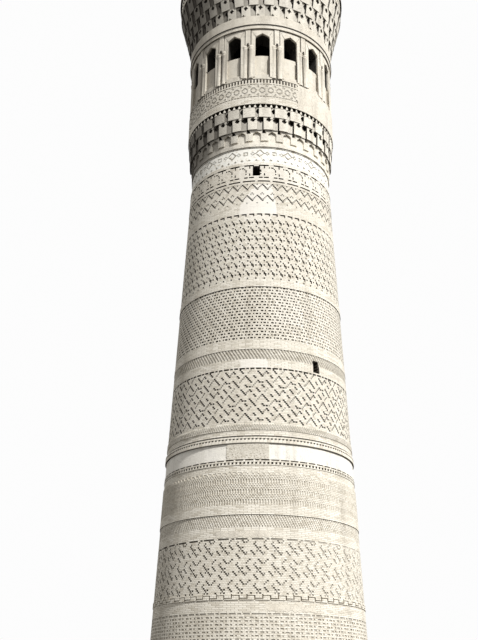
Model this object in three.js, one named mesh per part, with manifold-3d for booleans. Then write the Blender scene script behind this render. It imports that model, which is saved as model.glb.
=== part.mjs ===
// A round, tapering brick minaret at half of its real size: a ten-sided plinth, a hollow shaft laid in
// patterned bands, corbelled muqarnas tiers, a lantern with sixteen pointed arches, and a flaring cornice
// with a flat roof. The front of the tower faces -Y, and its axis is Z. An azimuth is counted in degrees
// from -Y towards +X.
import * as THREE from "three";
import { mergeVertices } from "three/addons/utils/BufferGeometryUtils.js";
import Module from "manifold-3d";

const wasm = await Module();
wasm.setup();

// Driving dimensions. All heights, radii and widths are metres of the real tower. MODEL turns them into
// millimetres at half size.
const MODEL = 500;
const GAP = 0.3; // millimetres left between neighbours

// The cone of the shaft: its radius shrinks evenly with height.
const SHAFT_RADIUS = 4.47;
const SHAFT_TAPER = 0.0425;
const SHAFT_FACETS = 40;

// The plinth under the shaft, with its drip edge.
const PLINTH = { sides: 10, apothem: 5.1, height: 1.3, chamfer: 0.12 };

// The stairwell inside the shaft, and the wider room inside the lantern.
const STAIRWELL = { foot: 5.0, radius: 1.6, facets: 16 };
const CHAMBER = { foot: 37.9, radius: 2.51, facets: 32 };
const FLOOR = { thickness: 0.4, hatchWidth: 1.1, hatchY: 0.8 };

// The doorway at the back, and two slit windows.
const DOOR = { azimuth: 180, sill: 5.15, spring: 6.75, apex: 7.25, width: 0.9 };
const UPPER_SLIT = { azimuth: -3.1, sill: 33.57, head: 33.98, width: 0.28 };
const LOWER_SLIT = { azimuth: 37.3, sill: 25.17, head: 25.61, width: 0.26 };

// The bands of the shaft from the foot up. A step runs from one height to another and stands proud of the
// cone, or lies behind it where it is negative.
const BANDS = [
  { name: "shaft_foot", foot: 1.3, steps: [[4.6, 4.8, 0.04]] },
  { name: "door_band", foot: 5.0, cuts: [DOOR], steps: [] },
  { name: "lower_zigzag_band", foot: 7.6, steps: [[7.6, 7.8, 0.04]] },
  { name: "lower_basket_band", foot: 10.6, steps: [[13.2, 13.4, 0.04]] },
  { name: "brick_pair_band", foot: 13.7, steps: [] },
  { name: "stroke_lattice_band", foot: 16.66, steps: [[17.06, 17.24, 0.02]] },
  { name: "herringbone_band", foot: 19.31, steps: [[20.01, 21.24, 0.02]] },
  {
    name: "frieze_band",
    foot: 21.55,
    steps: [[21.55, 21.68, 0.04], [21.68, 22.27, -0.03], [22.27, 22.54, 0.045]],
  },
  { name: "diamond_band", foot: 22.54, steps: [[22.74, 22.96, 0.02]] },
  { name: "zigzag_band", foot: 25.04, cuts: [LOWER_SLIT], steps: [[25.84, 26.02, 0.03]] },
  { name: "basket_band", foot: 26.2, steps: [[28.43, 28.71, 0.05]] },
  { name: "cross_band", foot: 28.71, steps: [] },
  { name: "star_band", foot: 32.08, cuts: [UPPER_SLIT], steps: [[33.19, 33.31, 0.03], [34.08, 34.23, 0.04]] },
  { name: "glazed_frieze", foot: 34.23, steps: [], finish: "glazed" },
];
const SHAFT_HEAD = 35.0;

// The lower muqarnas: a tier of blocks with arched niches between them, then two tiers of noses.
// NICHE_TURN is the azimuth of the niche at the front. Over each block is a pocket with a slanting side:
// left and right are how far its foot reaches from the middle of the block.
const LOWER_CELLS = 30;
const NICHE_TURN = -2.7;
const NICHE_TIER = { foot: 35.0, head: 35.78, ledge: 0.17, ledgeRadius: 3.06 };
const BLOCK = { recess: 0.12, recessRadius: 3.02, footRadius: 3.07, headRadius: 3.1 };
const NICHE = { sill: 35.22, spring: 35.58, apex: 35.73, width: 0.34, backRadius: 3.02 };
const POCKET = { foot: 35.63, left: 0.1, right: 0.075, rightAtHead: -0.01, backRadius: 2.98 };

// A tier of noses. back is the radius of the notches between them, and inner the share of a nose that is
// its middle facet. A level gives a height, the share of the cell that the nose takes there, and the
// radius of its corners.
const LOWER_TIERS = [
  {
    name: "lower_muqarnas_2",
    cells: LOWER_CELLS,
    turn: -4.15,
    inner: 0.5,
    back: 2.94,
    levels: [
      [35.78, 0.7, 3.05],
      [35.9, 0.9, 3.07],
      [36.17, 0.9, 3.08],
      [36.24, 0.74, 3.085],
      [36.38, 0.74, 3.09],
    ],
  },
  {
    name: "lower_muqarnas_3",
    cells: LOWER_CELLS,
    turn: 3.95,
    inner: 0.56,
    back: 3.0,
    levels: [
      [36.38, 0.84, 3.11],
      [36.54, 0.84, 3.13],
      [36.6, 0.74, 3.13],
      [36.7, 0.74, 3.14],
      [36.83, 0.9, 3.15],
    ],
  },
];
const TOOTH_COURSE = { foot: 36.83, head: 36.99, radius: 3.14 };

// The lantern: a drum, a parapet with sunken panels, sixteen piers that carry half an arch each side, and
// a head.
const LANTERN_RADIUS = 3.26;
const DRUM = { foot: 36.99, head: 38.33 };
const ARCHES = { count: 16, azimuth: 1.4, width: 0.62, spring: 40.56, apex: 40.83 };
const PARAPET = { foot: 38.33, head: 39.69, panelFoot: 38.6, panelDepth: 0.1, panelWidth: 0.68 };
const PIER = { head: 41.26, faceRadius: 3.22, stripWidth: 0.22, stripFoot: 40.2 };
const GROOVE = { width: 0.07, depth: 0.12, foot: 38.45, head: 40.06 };
const HEAD_RING = { foot: 41.26, head: 41.9, lip: 0.14, lipOut: 0.03 };

// The upper muqarnas and the cornice with its flat roof and the low stub on it.
const UPPER_CELLS = 32;
const UPPER_TIERS = [
  {
    name: "upper_muqarnas_1",
    cells: UPPER_CELLS,
    turn: 0,
    inner: 0.3,
    back: 3.1,
    levels: [
      [41.9, 0.66, 3.2],
      [42.06, 0.88, 3.24],
      [42.46, 0.88, 3.32],
      [42.56, 0.7, 3.34],
      [42.7, 0.7, 3.36],
    ],
  },
  {
    name: "upper_muqarnas_2",
    cells: UPPER_CELLS,
    turn: 180 / UPPER_CELLS,
    inner: 0.5,
    back: 3.26,
    levels: [
      [42.7, 0.9, 3.39],
      [43.26, 0.9, 3.51],
      [43.36, 0.72, 3.53],
      [43.5, 0.72, 3.56],
    ],
  },
  {
    name: "upper_muqarnas_3",
    cells: UPPER_CELLS,
    turn: 0,
    inner: 0.3,
    back: 3.44,
    levels: [
      [43.5, 0.9, 3.58],
      [44.04, 0.9, 3.71],
      [44.14, 0.76, 3.74],
      [44.3, 0.92, 3.79],
    ],
  },
];
const CORNICE = { foot: 44.3, head: 45.3, radius: 3.87, lip: 0.25, lipRadius: 3.95 };
const ROOF = { edge: 45.6, crown: 45.75, radius: 3.83, crownRadius: 1.4 };
const STUB = { head: 48.0, footRadius: 1.25, headRadius: 0.85, facets: 32 };

// An arch: the straight pieces in each rounded shoulder, the shares of its half width and of its rise that
// the shoulder takes, and how sharply it bends.
const ARCH_STEPS = 3;
const SHOULDER = { width: 0.24, rise: 0.47, bend: 0.3 };

// How far the middle facet of a nose stands out in front of its corners.
const NOSE_TIP = 0.025;

const FINISHES = {
  brick: { color: 0xcbbfa9, roughness: 0.92, metalness: 0 },
  glazed: { color: 0xe4e1d6, roughness: 0.45, metalness: 0 },
  render: { color: 0xd9d2c2, roughness: 0.88, metalness: 0 },
};

// Solids and their booleans.
const degrees = (angle) => THREE.MathUtils.degToRad(angle);
const shaftRadius = (height) => SHAFT_RADIUS - SHAFT_TAPER * height;

function solidOf(geometry) {
  const bare = geometry.index ? geometry.toNonIndexed() : geometry.clone();
  bare.deleteAttribute("normal");
  bare.deleteAttribute("uv");
  const merged = mergeVertices(bare, 1e-3);
  const mesh = new wasm.Mesh({
    numProp: 3,
    vertProperties: merged.attributes.position.array,
    triVerts: new Uint32Array(merged.index.array),
  });
  return new wasm.Manifold(mesh);
}

function geometryOf(solid) {
  const mesh = solid.getMesh();
  const geometry = new THREE.BufferGeometry();
  geometry.setAttribute("position", new THREE.BufferAttribute(mesh.vertProperties, 3));
  geometry.setIndex(new THREE.BufferAttribute(mesh.triVerts, 1));
  geometry.computeVertexNormals();
  return geometry;
}

const tower = new THREE.Group();

function addPiece(name, solid, finish = "brick") {
  const mesh = new THREE.Mesh(geometryOf(solid), new THREE.MeshStandardMaterial(FINISHES[finish]));
  mesh.name = name;
  tower.add(mesh);
}

// A solid of revolution about Z. The profile lists [radius, height] in metres from the foot up, from axis
// to axis.
function turned(profile, facets) {
  const points = profile.map(([radius, height]) => new THREE.Vector2(radius * MODEL, height * MODEL));
  return solidOf(new THREE.LatheGeometry(points, facets).rotateX(Math.PI / 2));
}

// An upright bore about the axis, from one height to another.
function bore({ radius, facets }, foot, head) {
  return turned([[0, foot], [radius, foot], [radius, head], [0, head]], facets);
}

// A prism whose outline stands upright at the axis and runs out to a radius along an azimuth.
function radialPrism(outline, radius, azimuth) {
  const settings = { depth: radius * MODEL, bevelEnabled: false, curveSegments: ARCH_STEPS };
  const geometry = new THREE.ExtrudeGeometry(outline, settings);
  return solidOf(geometry.rotateX(Math.PI / 2).rotateZ(degrees(azimuth)));
}

function slitOutline({ width, sill, head }) {
  const half = (width / 2) * MODEL;
  const corners = [[-half, sill], [half, sill], [half, head], [-half, head]];
  return new THREE.Shape(corners.map(([x, height]) => new THREE.Vector2(x, height * MODEL)));
}

// A pointed arch over two jambs: each jamb bends over a rounded shoulder into a straight slope to the apex.
function archOutline({ width, sill, spring, apex }) {
  const half = (width / 2) * MODEL;
  const rise = (apex - spring) * MODEL;
  const foot = spring * MODEL;
  const inner = half * (1 - SHOULDER.width);
  const shoulder = foot + SHOULDER.rise * rise;
  const bend = foot + SHOULDER.bend * rise;
  const outline = new THREE.Shape();
  outline.moveTo(-half, sill * MODEL);
  outline.lineTo(half, sill * MODEL);
  outline.lineTo(half, foot);
  outline.quadraticCurveTo(half, bend, inner, shoulder);
  outline.lineTo(0, apex * MODEL);
  outline.lineTo(-inner, shoulder);
  outline.quadraticCurveTo(-half, bend, -half, foot);
  outline.closePath();
  return outline;
}

// The small gap is taken from the foot of each piece, so that it rests just above the one below.
const raised = (height) => height + GAP / MODEL;

// The plinth: a ten-sided block with a chamfered top edge. A flat side faces the front.
function plinth() {
  const { sides, apothem, height, chamfer } = PLINTH;
  const corner = 1 / Math.cos(Math.PI / sides);
  const low = apothem * corner;
  const high = (apothem - chamfer) * corner;
  const profile = [[0, 0], [low, 0], [low, height - chamfer], [high, height], [0, height]];
  return turned(profile, sides).rotate([0, 0, 180 / sides]);
}

// A band of the shaft follows the cone, and each step goes out or in and back again.
function bandProfile(foot, head, steps) {
  const profile = [[0, raised(foot)], [shaftRadius(foot), raised(foot)]];
  for (const [from, to, proud] of steps) {
    if (from > foot) profile.push([shaftRadius(from), from]);
    else profile.pop();
    profile.push([shaftRadius(from) + proud, Math.max(from, raised(foot))]);
    profile.push([shaftRadius(to) + proud, to]);
    if (to < head) profile.push([shaftRadius(to), to]);
  }
  const last = profile[profile.length - 1];
  if (last[1] < head) profile.push([shaftRadius(head), head]);
  profile.push([0, head]);
  return profile.filter(([radius, height], i) => {
    const before = profile[i - 1];
    return !before || Math.hypot(radius - before[0], height - before[1]) > 1e-6;
  });
}

function band({ foot, cuts = [], steps }, head) {
  let solid = turned(bandProfile(foot, head, steps), SHAFT_FACETS);
  if (foot >= STAIRWELL.foot) solid = solid.subtract(bore(STAIRWELL, foot - 1, head + 1));
  for (const cut of cuts) {
    const outline = cut.apex ? archOutline(cut) : slitOutline(cut);
    solid = solid.subtract(radialPrism(outline, SHAFT_RADIUS + 1, cut.azimuth));
  }
  return solid;
}

// The niche tier: a ledge, a recess, and above it a leaning wall with an arched niche in each of its flat
// sides.
function nicheTier() {
  const { foot, head, ledge, ledgeRadius } = NICHE_TIER;
  const blockFoot = foot + ledge + BLOCK.recess;
  const profile = [
    [0, raised(foot)],
    [ledgeRadius, raised(foot)],
    [ledgeRadius, foot + ledge],
    [BLOCK.recessRadius, foot + ledge],
    [BLOCK.recessRadius, blockFoot],
    [BLOCK.footRadius, blockFoot],
    [BLOCK.headRadius, head],
    [0, head],
  ];
  const halfCell = 180 / LOWER_CELLS;
  const facing = halfCell + NICHE_TURN;
  let solid = turned(profile, LOWER_CELLS).rotate([0, 0, facing]);
  solid = solid.subtract(bore(STAIRWELL, foot - 1, head + 1));
  const back = { radius: NICHE.backRadius, facets: LOWER_CELLS };
  const behind = bore(back, foot - 1, head + 1).rotate([0, 0, facing]);
  const deeper = bore({ radius: POCKET.backRadius, facets: LOWER_CELLS }, foot - 1, head + 1);
  const behindPocket = deeper.rotate([0, 0, facing]);
  for (let i = 0; i < LOWER_CELLS; i++) {
    const azimuth = NICHE_TURN + 2 * i * halfCell;
    const niche = radialPrism(archOutline(NICHE), BLOCK.headRadius + 1, azimuth);
    const pocket = radialPrism(pocketOutline(head), BLOCK.headRadius + 1, azimuth + halfCell);
    solid = solid.subtract(niche.subtract(behind)).subtract(pocket.subtract(behindPocket));
  }
  return solid;
}

// A pocket over a block: upright on its left, slanting on its right, and open at the head of the tier.
function pocketOutline(head) {
  const { foot, left, right, rightAtHead } = POCKET;
  const above = head + 0.05;
  const corners = [[-left, foot], [right, foot], [rightAtHead, above], [-left, above]];
  return new THREE.Shape(corners.map(([x, height]) => new THREE.Vector2(x * MODEL, height * MODEL)));
}

// The outline of one level of a muqarnas tier: per cell a notch at the back and a nose of four corners.
function tierLevel({ cells, turn, inner, back }, [height, share, front]) {
  const pitch = (2 * Math.PI) / cells;
  const nose = (share * pitch) / 2;
  const tip = front + NOSE_TIP;
  const corners = [
    [-pitch / 2, back],
    [-nose, front],
    [-inner * nose, tip],
    [inner * nose, tip],
    [nose, front],
  ];
  const level = [];
  for (let i = 0; i < cells; i++) {
    const middle = i * pitch + degrees(turn) - Math.PI / 2;
    for (const [offset, radius] of corners) {
      const angle = middle + offset;
      const point = new THREE.Vector3(radius * Math.cos(angle), radius * Math.sin(angle), height);
      level.push(point.multiplyScalar(MODEL));
    }
  }
  return level;
}

// A closed skin through outlines of equal length, with a fan to the axis at its foot and head.
function lofted(levels) {
  const count = levels[0].length;
  const points = levels.flat();
  const low = points.push(new THREE.Vector3(0, 0, levels[0][0].z)) - 1;
  const high = points.push(new THREE.Vector3(0, 0, levels[levels.length - 1][0].z)) - 1;
  const faces = [];
  for (let i = 0; i < count; i++) {
    const next = (i + 1) % count;
    faces.push(low, next, i);
    for (let row = 0; row + 1 < levels.length; row++) {
      const a = row * count + i;
      const b = row * count + next;
      faces.push(a, b, b + count, a, b + count, a + count);
    }
    const top = (levels.length - 1) * count;
    faces.push(high, top + i, top + next);
  }
  const geometry = new THREE.BufferGeometry().setFromPoints(points);
  geometry.setIndex(faces);
  return solidOf(geometry);
}

// A muqarnas tier: the noses widen over the tier below, rise, and narrow to a pocket on each side of their
// heads.
function noseTier(tier, hollow) {
  const [foot] = tier.levels[0];
  const [head] = tier.levels[tier.levels.length - 1];
  const levels = tier.levels.map(([height, share, front]) => {
    return tierLevel(tier, [Math.max(height, raised(foot)), share, front]);
  });
  return lofted(levels).subtract(bore(hollow, foot - 1, head + 1));
}

// A ring turned from a profile, with an upright bore through it.
function ring(profile, hollow, foot, head) {
  return turned(profile, SHAFT_FACETS).subtract(bore(hollow, foot - 1, head + 1));
}

// The sunken course behind the small teeth.
function toothCourse() {
  const { foot, head, radius } = TOOTH_COURSE;
  return ring([[0, raised(foot)], [radius, raised(foot)], [radius, head], [0, head]], STAIRWELL, foot, head);
}

function lanternDrum() {
  const { foot, head } = DRUM;
  const radius = LANTERN_RADIUS;
  const profile = [[0, raised(foot)], [radius, raised(foot)], [radius, head], [0, head]];
  return ring(profile, STAIRWELL, foot, head).subtract(bore(CHAMBER, CHAMBER.foot, head + 1));
}

// The lantern floor lies on the ledge where the stairwell widens, and the stair comes up through its hatch.
function lanternFloor() {
  const foot = raised(CHAMBER.foot);
  const head = CHAMBER.foot + FLOOR.thickness;
  const radius = CHAMBER.radius - (2 * GAP) / MODEL;
  const slab = turned([[0, foot], [radius, foot], [radius, head], [0, head]], CHAMBER.facets);
  const side = FLOOR.hatchWidth * MODEL;
  const hatch = new THREE.BoxGeometry(side, side, 2 * FLOOR.thickness * MODEL);
  hatch.translate(0, FLOOR.hatchY * MODEL, head * MODEL);
  return slab.subtract(solidOf(hatch));
}

const archAzimuth = (i) => ARCHES.azimuth + (i * 360) / ARCHES.count;
const pierAzimuth = (i) => archAzimuth(i + 0.5);

// The raised strip on the face of a pier, as an upright bar between two heights.
function faceStrip(azimuth, foot, head) {
  const depth = (LANTERN_RADIUS - CHAMBER.radius - 0.1) * MODEL;
  const bar = new THREE.BoxGeometry(PIER.stripWidth * MODEL, depth, (head - foot) * MODEL);
  bar.translate(0, -LANTERN_RADIUS * MODEL + depth / 2, ((foot + head) / 2) * MODEL);
  return solidOf(bar.rotateZ(degrees(azimuth)));
}

// The groove between the two half columns of a pier, as an upright prism with a flat back.
function groove(azimuth) {
  const outline = slitOutline({ width: GROOVE.width, sill: GROOVE.foot, head: GROOVE.head });
  const back = { radius: PIER.faceRadius - GROOVE.depth, facets: CHAMBER.facets };
  const behind = bore(back, GROOVE.foot - 1, GROOVE.head + 1);
  return radialPrism(outline, PIER.faceRadius + 1, azimuth).subtract(behind);
}

function lanternParapet() {
  const { foot, head, panelFoot, panelDepth, panelWidth } = PARAPET;
  const face = PIER.faceRadius;
  const profile = [[0, raised(foot)], [face, raised(foot)], [face, head], [0, head]];
  let solid = ring(profile, CHAMBER, foot, head);
  const behind = bore({ radius: face - panelDepth, facets: SHAFT_FACETS }, foot - 1, head + 1);
  const panel = slitOutline({ width: panelWidth, sill: panelFoot, head: head + 1 });
  for (let i = 0; i < ARCHES.count; i++) {
    solid = solid.subtract(radialPrism(panel, face + 1, archAzimuth(i)).subtract(behind));
    solid = solid.subtract(groove(pierAzimuth(i)));
  }
  return solid;
}

// A pier is the part of the arcade wall between the crowns of two arches.
function lanternPier(i) {
  const foot = raised(PARAPET.head);
  const head = PIER.head;
  const face = PIER.faceRadius;
  const profile = [[0, foot], [face, foot], [face, head], [0, head]];
  const half = Math.PI / ARCHES.count;
  const reach = (LANTERN_RADIUS + 1) * MODEL;
  const wedge = new THREE.Shape([
    new THREE.Vector2(0, -GAP),
    new THREE.Vector2(reach * Math.sin(half), -GAP - reach * Math.cos(half)),
    new THREE.Vector2(-reach * Math.sin(half), -GAP - reach * Math.cos(half)),
  ].reverse());
  const bay = new THREE.ExtrudeGeometry(wedge, { depth: 2 * MODEL, bevelEnabled: false });
  bay.translate(0, 0, (foot - 0.2) * MODEL).rotateZ(degrees(pierAzimuth(i)));
  let solid = ring(profile, CHAMBER, foot, head).subtract(groove(pierAzimuth(i)));
  solid = solid.add(faceStrip(pierAzimuth(i), PIER.stripFoot, head));
  for (const side of [i, i + 1]) {
    const opening = archOutline({ ...ARCHES, sill: foot - 1 });
    solid = solid.subtract(radialPrism(opening, face + 1, archAzimuth(side)));
  }
  return solid.intersect(solidOf(bay));
}

function headRing() {
  const { foot, head, lip, lipOut } = HEAD_RING;
  const radius = LANTERN_RADIUS;
  const profile = [
    [0, raised(foot)],
    [radius + lipOut, raised(foot)],
    [radius + lipOut, foot + lip],
    [radius, foot + lip],
    [radius, head],
    [0, head],
  ];
  return ring(profile, CHAMBER, foot, head);
}

function cornice() {
  const { foot, head, radius, lip, lipRadius } = CORNICE;
  const profile = [
    [0, raised(foot)],
    [radius, raised(foot)],
    [radius, head - lip],
    [lipRadius, head - lip],
    [lipRadius, head],
    [0, head],
  ];
  return ring(profile, CHAMBER, foot, head);
}

function roof() {
  const { edge, crown, radius, crownRadius } = ROOF;
  const foot = raised(CORNICE.head);
  return turned([[0, foot], [radius, foot], [radius, edge], [crownRadius, crown], [0, crown]], SHAFT_FACETS);
}

function stub() {
  const { head, footRadius, headRadius, facets } = STUB;
  const foot = raised(ROOF.crown);
  return turned([[0, foot], [footRadius, foot], [headRadius, head], [0, head]], facets);
}

// The tower from the ground up.
addPiece("plinth", plinth());
BANDS.forEach((item, i) => {
  const head = i + 1 < BANDS.length ? BANDS[i + 1].foot : SHAFT_HEAD;
  addPiece(item.name, band(item, head), item.finish);
});
addPiece("lower_muqarnas_1", nicheTier());
for (const tier of LOWER_TIERS) addPiece(tier.name, noseTier(tier, STAIRWELL));
addPiece("tooth_course", toothCourse());
addPiece("lantern_drum", lanternDrum());
addPiece("lantern_floor", lanternFloor(), "render");
addPiece("lantern_parapet", lanternParapet(), "render");
for (let i = 0; i < ARCHES.count; i++) {
  addPiece("lantern_pier_" + String(i + 1).padStart(2, "0"), lanternPier(i), "render");
}
addPiece("arcade_head", headRing(), "render");
for (const tier of UPPER_TIERS) addPiece(tier.name, noseTier(tier, CHAMBER));
addPiece("cornice", cornice());
addPiece("roof", roof(), "render");
addPiece("roof_stub", stub());

export default tower;
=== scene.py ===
# %% [markdown]
# # A round brick minaret at half of its real size
# The solids of the tower come in as a fixed frame. This lesson dresses them: it lays the brickwork in relief
# over the shaft, carves the muqarnas, finishes the lantern and gives every surface its material. Sizes below
# are metres of the real tower. The model is half as large, so each point is halved once, in `spot`.

# %% The frame
import math
import bpy
import numpy as np
from mathutils import Matrix, Vector


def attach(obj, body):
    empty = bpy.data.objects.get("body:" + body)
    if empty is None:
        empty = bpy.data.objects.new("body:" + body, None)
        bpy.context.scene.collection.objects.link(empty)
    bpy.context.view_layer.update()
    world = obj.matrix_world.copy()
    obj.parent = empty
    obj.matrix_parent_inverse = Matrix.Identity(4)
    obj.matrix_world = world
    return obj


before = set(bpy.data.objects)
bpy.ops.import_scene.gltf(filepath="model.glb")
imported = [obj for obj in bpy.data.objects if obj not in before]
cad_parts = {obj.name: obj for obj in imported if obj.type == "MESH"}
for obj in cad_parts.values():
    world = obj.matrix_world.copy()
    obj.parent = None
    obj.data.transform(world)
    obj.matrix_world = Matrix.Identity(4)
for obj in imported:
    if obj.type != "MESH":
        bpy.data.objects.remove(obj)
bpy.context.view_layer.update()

MODEL = 0.5  # model metres in one metre of the real tower
print("solids in the frame:", len(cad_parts))

# %% [markdown]
# ## The camera
# A pinhole camera was fitted to the curves of the bands and to the silhouette. It stands 32 m in front of the
# axis and looks up by 24 degrees. A constraint could point it, but three unit vectors (ahead, right and
# upward) say the same in plain numbers.

# %% Camera
FOCAL_PIXELS, PICTURE_HEIGHT, SENSOR = 850.0, 640.0, 36.0
CAMERA_DISTANCE, CAMERA_HEIGHT = 32.13, 14.136
TILT, ROLL, YAW = 0.42064, -0.014353, -0.026763  # radians
SIGHT = 400.0  # how far the camera sees, in model metres

ahead = Vector((math.sin(YAW) * math.cos(TILT), math.cos(YAW) * math.cos(TILT), math.sin(TILT)))
across = Vector((math.cos(YAW), -math.sin(YAW), 0.0))
above = across.cross(ahead)
right = math.cos(ROLL) * across - math.sin(ROLL) * above
upward = math.sin(ROLL) * across + math.cos(ROLL) * above

camera = bpy.data.objects.new("camera", bpy.data.cameras.new("camera"))
bpy.context.scene.collection.objects.link(camera)
camera.data.sensor_width = SENSOR
camera.data.lens = FOCAL_PIXELS / PICTURE_HEIGHT * SENSOR
camera.data.clip_end = SIGHT
turned = Matrix((right, upward, -ahead)).transposed().to_4x4()
stand = Matrix.Translation((0.0, -CAMERA_DISTANCE * MODEL, CAMERA_HEIGHT * MODEL))
camera.matrix_world = stand @ turned
bpy.context.scene.camera = camera
print("lens %.2f mm" % camera.data.lens)

# %% [markdown]
# ## The lamps
# A large soft lamp stands far to the right, high enough that its light runs down and to the left over the
# wall, and two weak ones serve the other sides. Area lamps would have to stand 30 m away, so each is a sun
# lamp with a wide angle, whose soft-edged shadows are the same at every height.

# %% Lamps
LAMPS = {"key": (36.0, 44.0, 4.7, 3.0), "side": (115.0, 30.0, 1.3, 15.0), "back": (-170.0, 35.0, 1.4, 20.0)}


def sun(name, azimuth, height, strength, softness):
    """A sun lamp at an azimuth from the front, counted to the right, and at a height. Softness is the angle
    that the lamp takes up in the sky. All three are degrees."""
    lamp = bpy.data.objects.new(name, bpy.data.lights.new(name, "SUN"))
    lamp.data.energy = strength
    lamp.data.angle = math.radians(softness)
    a, h = math.radians(azimuth), math.radians(height)
    from_there = Vector((math.sin(a) * math.cos(h), -math.cos(a) * math.cos(h), math.sin(h)))
    lamp.matrix_world = from_there.to_track_quat("Z", "Y").to_matrix().to_4x4()
    bpy.context.scene.collection.objects.link(lamp)


for lamp_name, lamp_values in LAMPS.items():
    sun(lamp_name, *lamp_values)
print("lamps:", len(LAMPS))

# %% [markdown]
# ## One function for nodes
# A material or a room is a graph of nodes. Each node is made, set to what it is, and given a value or a link
# for each input. One function does that for every kind of node.


# %% Node helper
def add(tree, kind, inputs=None, **settings):
    """Adds one node with its settings. An input is named, or numbered among those in use. It gets a plain
    value, or is linked from a socket, or from the first output in use of a node."""
    node = tree.nodes.new(kind)
    for key, value in settings.items():
        setattr(node, key, value)
    used = [socket for socket in node.inputs if socket.enabled]
    for key, value in (inputs or {}).items():
        socket = used[key] if isinstance(key, int) else next(s for s in used if s.name == key)
        if isinstance(value, bpy.types.Node):
            value = next(s for s in value.outputs if s.enabled)
        if isinstance(value, bpy.types.NodeSocket):
            tree.links.new(value, socket)
        else:
            socket.default_value = value
    return node


print("node helper:", add.__name__)

# %% [markdown]
# ## The room
# The room is pale to the camera but lights the tower about half as much. One world can do both: it asks
# whether a ray comes straight from the camera.

# %% Room
ROOM_SEEN, ROOM_LIGHT = 0.98, 0.52
WHITE = (1.0, 1.0, 1.0, 1.0)

room = bpy.data.worlds.new("room")
room.use_nodes = True
room.node_tree.nodes.clear()
ray = add(room.node_tree, "ShaderNodeLightPath")
strength = add(room.node_tree, "ShaderNodeMix", {
    "Factor": ray.outputs["Is Camera Ray"], "A": ROOM_LIGHT, "B": ROOM_SEEN})
glow = add(room.node_tree, "ShaderNodeBackground", {"Color": WHITE, "Strength": strength})
add(room.node_tree, "ShaderNodeOutputWorld", {"Surface": glow})
bpy.context.scene.world = room
bpy.context.scene.view_settings.view_transform = "Standard"
print("room:", len(room.node_tree.nodes), "nodes")

# %% [markdown]
# ## Colours and sizes
# The picture that the tower follows has no colours, so the brick takes the pale buff of such brick. Hex codes
# are sRGB, as a colour picker shows them, and the renderer counts in linear light, so one function turns
# them. Patterns take their sizes from millimetres of the real wall.


# %% Colours and sizes
def colour(code):
    """An sRGB hex code as linear red, green, blue and alpha."""
    values = [int(code[i:i + 2], 16) / 255 for i in (1, 3, 5)]
    return tuple(v / 12.92 if v <= 0.04045 else ((v + 0.055) / 1.055) ** 2.4 for v in values) + (1.0,)


def per_metre(size):
    """How often a pattern of a real size in millimetres fits in one metre of the model."""
    return 1000 / (size * MODEL)


BRICK_PALE, BRICK_BUFF, BRICK_GREY = colour("#ece6d9"), colour("#e1dacb"), colour("#cbc3b3")
# The last of these colours darkens cracks, and also serves as painted shade in gaps, hollows and on the left
# flank.
MORTAR, DUST, FRESH, CRACK_AND_SHADE = colour("#a39a89"), colour("#7d7466"), colour("#f1ece2"), colour("#3a342d")
# The beds behind the gaps are painted dark, as the shade in the gaps.
BED_PALE, BED_DARK = colour("#352f28"), colour("#211d19")
# A lighter bed, painted as lighter shade, for bands whose gaps look faint.
BED_LIGHT_SHADE, BED_GREY = colour("#9c9282"), colour("#7f7666")
RENDER_PALE, RENDER_GREY, RENDER_WHITE = colour("#eae4d7"), colour("#cec5b4"), colour("#f4f0e7")
# Painted black shade, for hollows behind faces and for the grooves.
SHADE_BLACK = colour("#1d1a17")
GLAZE_PALE, GLAZE_BLUE = colour("#f3efe5"), colour("#e7e5dc")

COURSE = 0.06  # height of a course, with its joint
HALF_BRICK = 0.13  # half the length of a brick, with its joint
JOINT, JOINT_EDGE = 0.003 / COURSE, 0.0078 / COURSE  # from a joint's middle, in courses
WALL_RADIUS = 3.4  # radius at which plain solids take the length of their bricks
print("bricks round the wall:", round(math.pi * WALL_RADIUS / HALF_BRICK))

# %% [markdown]
# ## Fired brick
# Brick is matt, about 0.9 rough, and changes from brick to brick, because the kiln heats them unevenly. An
# image could carry that, but a pattern worked out from each brick's place has no seam and no end. The relief
# has a map, `courses`: u counts half bricks along a course and v counts the courses. Their whole parts number
# a brick, and a random value for that number is its tone.


# %% Where a brick lies
def empty_material(name):
    """A new material, its empty node tree, and the place on the object that its patterns start from."""
    material = bpy.data.materials.new(name)
    material.use_nodes = True
    material.node_tree.nodes.clear()
    return material, material.node_tree, add(material.node_tree, "ShaderNodeTexCoord").outputs["Object"]


def brick_map(tree, place, relief):
    """Position on the brickwork as u and v. On relief it is the `courses` map. On a plain solid it is worked
    out round the axis: u is the angle times the radius over half a brick, and v is the height over a
    course."""
    if relief:
        split = add(tree, "ShaderNodeSeparateXYZ", {0: add(tree, "ShaderNodeUVMap", uv_map="courses")})
        return split.outputs["X"], split.outputs["Y"]
    split = add(tree, "ShaderNodeSeparateXYZ", {0: place})
    angle = add(tree, "ShaderNodeMath", {0: split.outputs["Y"], 1: split.outputs["X"]}, operation="ARCTAN2")
    u = add(tree, "ShaderNodeMath", {0: angle, 1: WALL_RADIUS / HALF_BRICK}, operation="MULTIPLY")
    v = add(tree, "ShaderNodeMath", {0: split.outputs["Z"], 1: 1 / (COURSE * MODEL)}, operation="MULTIPLY")
    return u, v


print("courses in one metre of the model: %.1f" % (1 / (COURSE * MODEL)))

# %% [markdown]
# ## What every wall shares
# Brick, render and glaze all end in the same matt shader, and the same weather has gone over them: broad grey
# patches, and dark runs where rain water comes down. Both are noise, because weather follows no bricks.

# %% Weather and dirt
PATCHES, RUNS_WIDE, RUNS_TALL = 1540, 400, 3640  # millimetres


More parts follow.
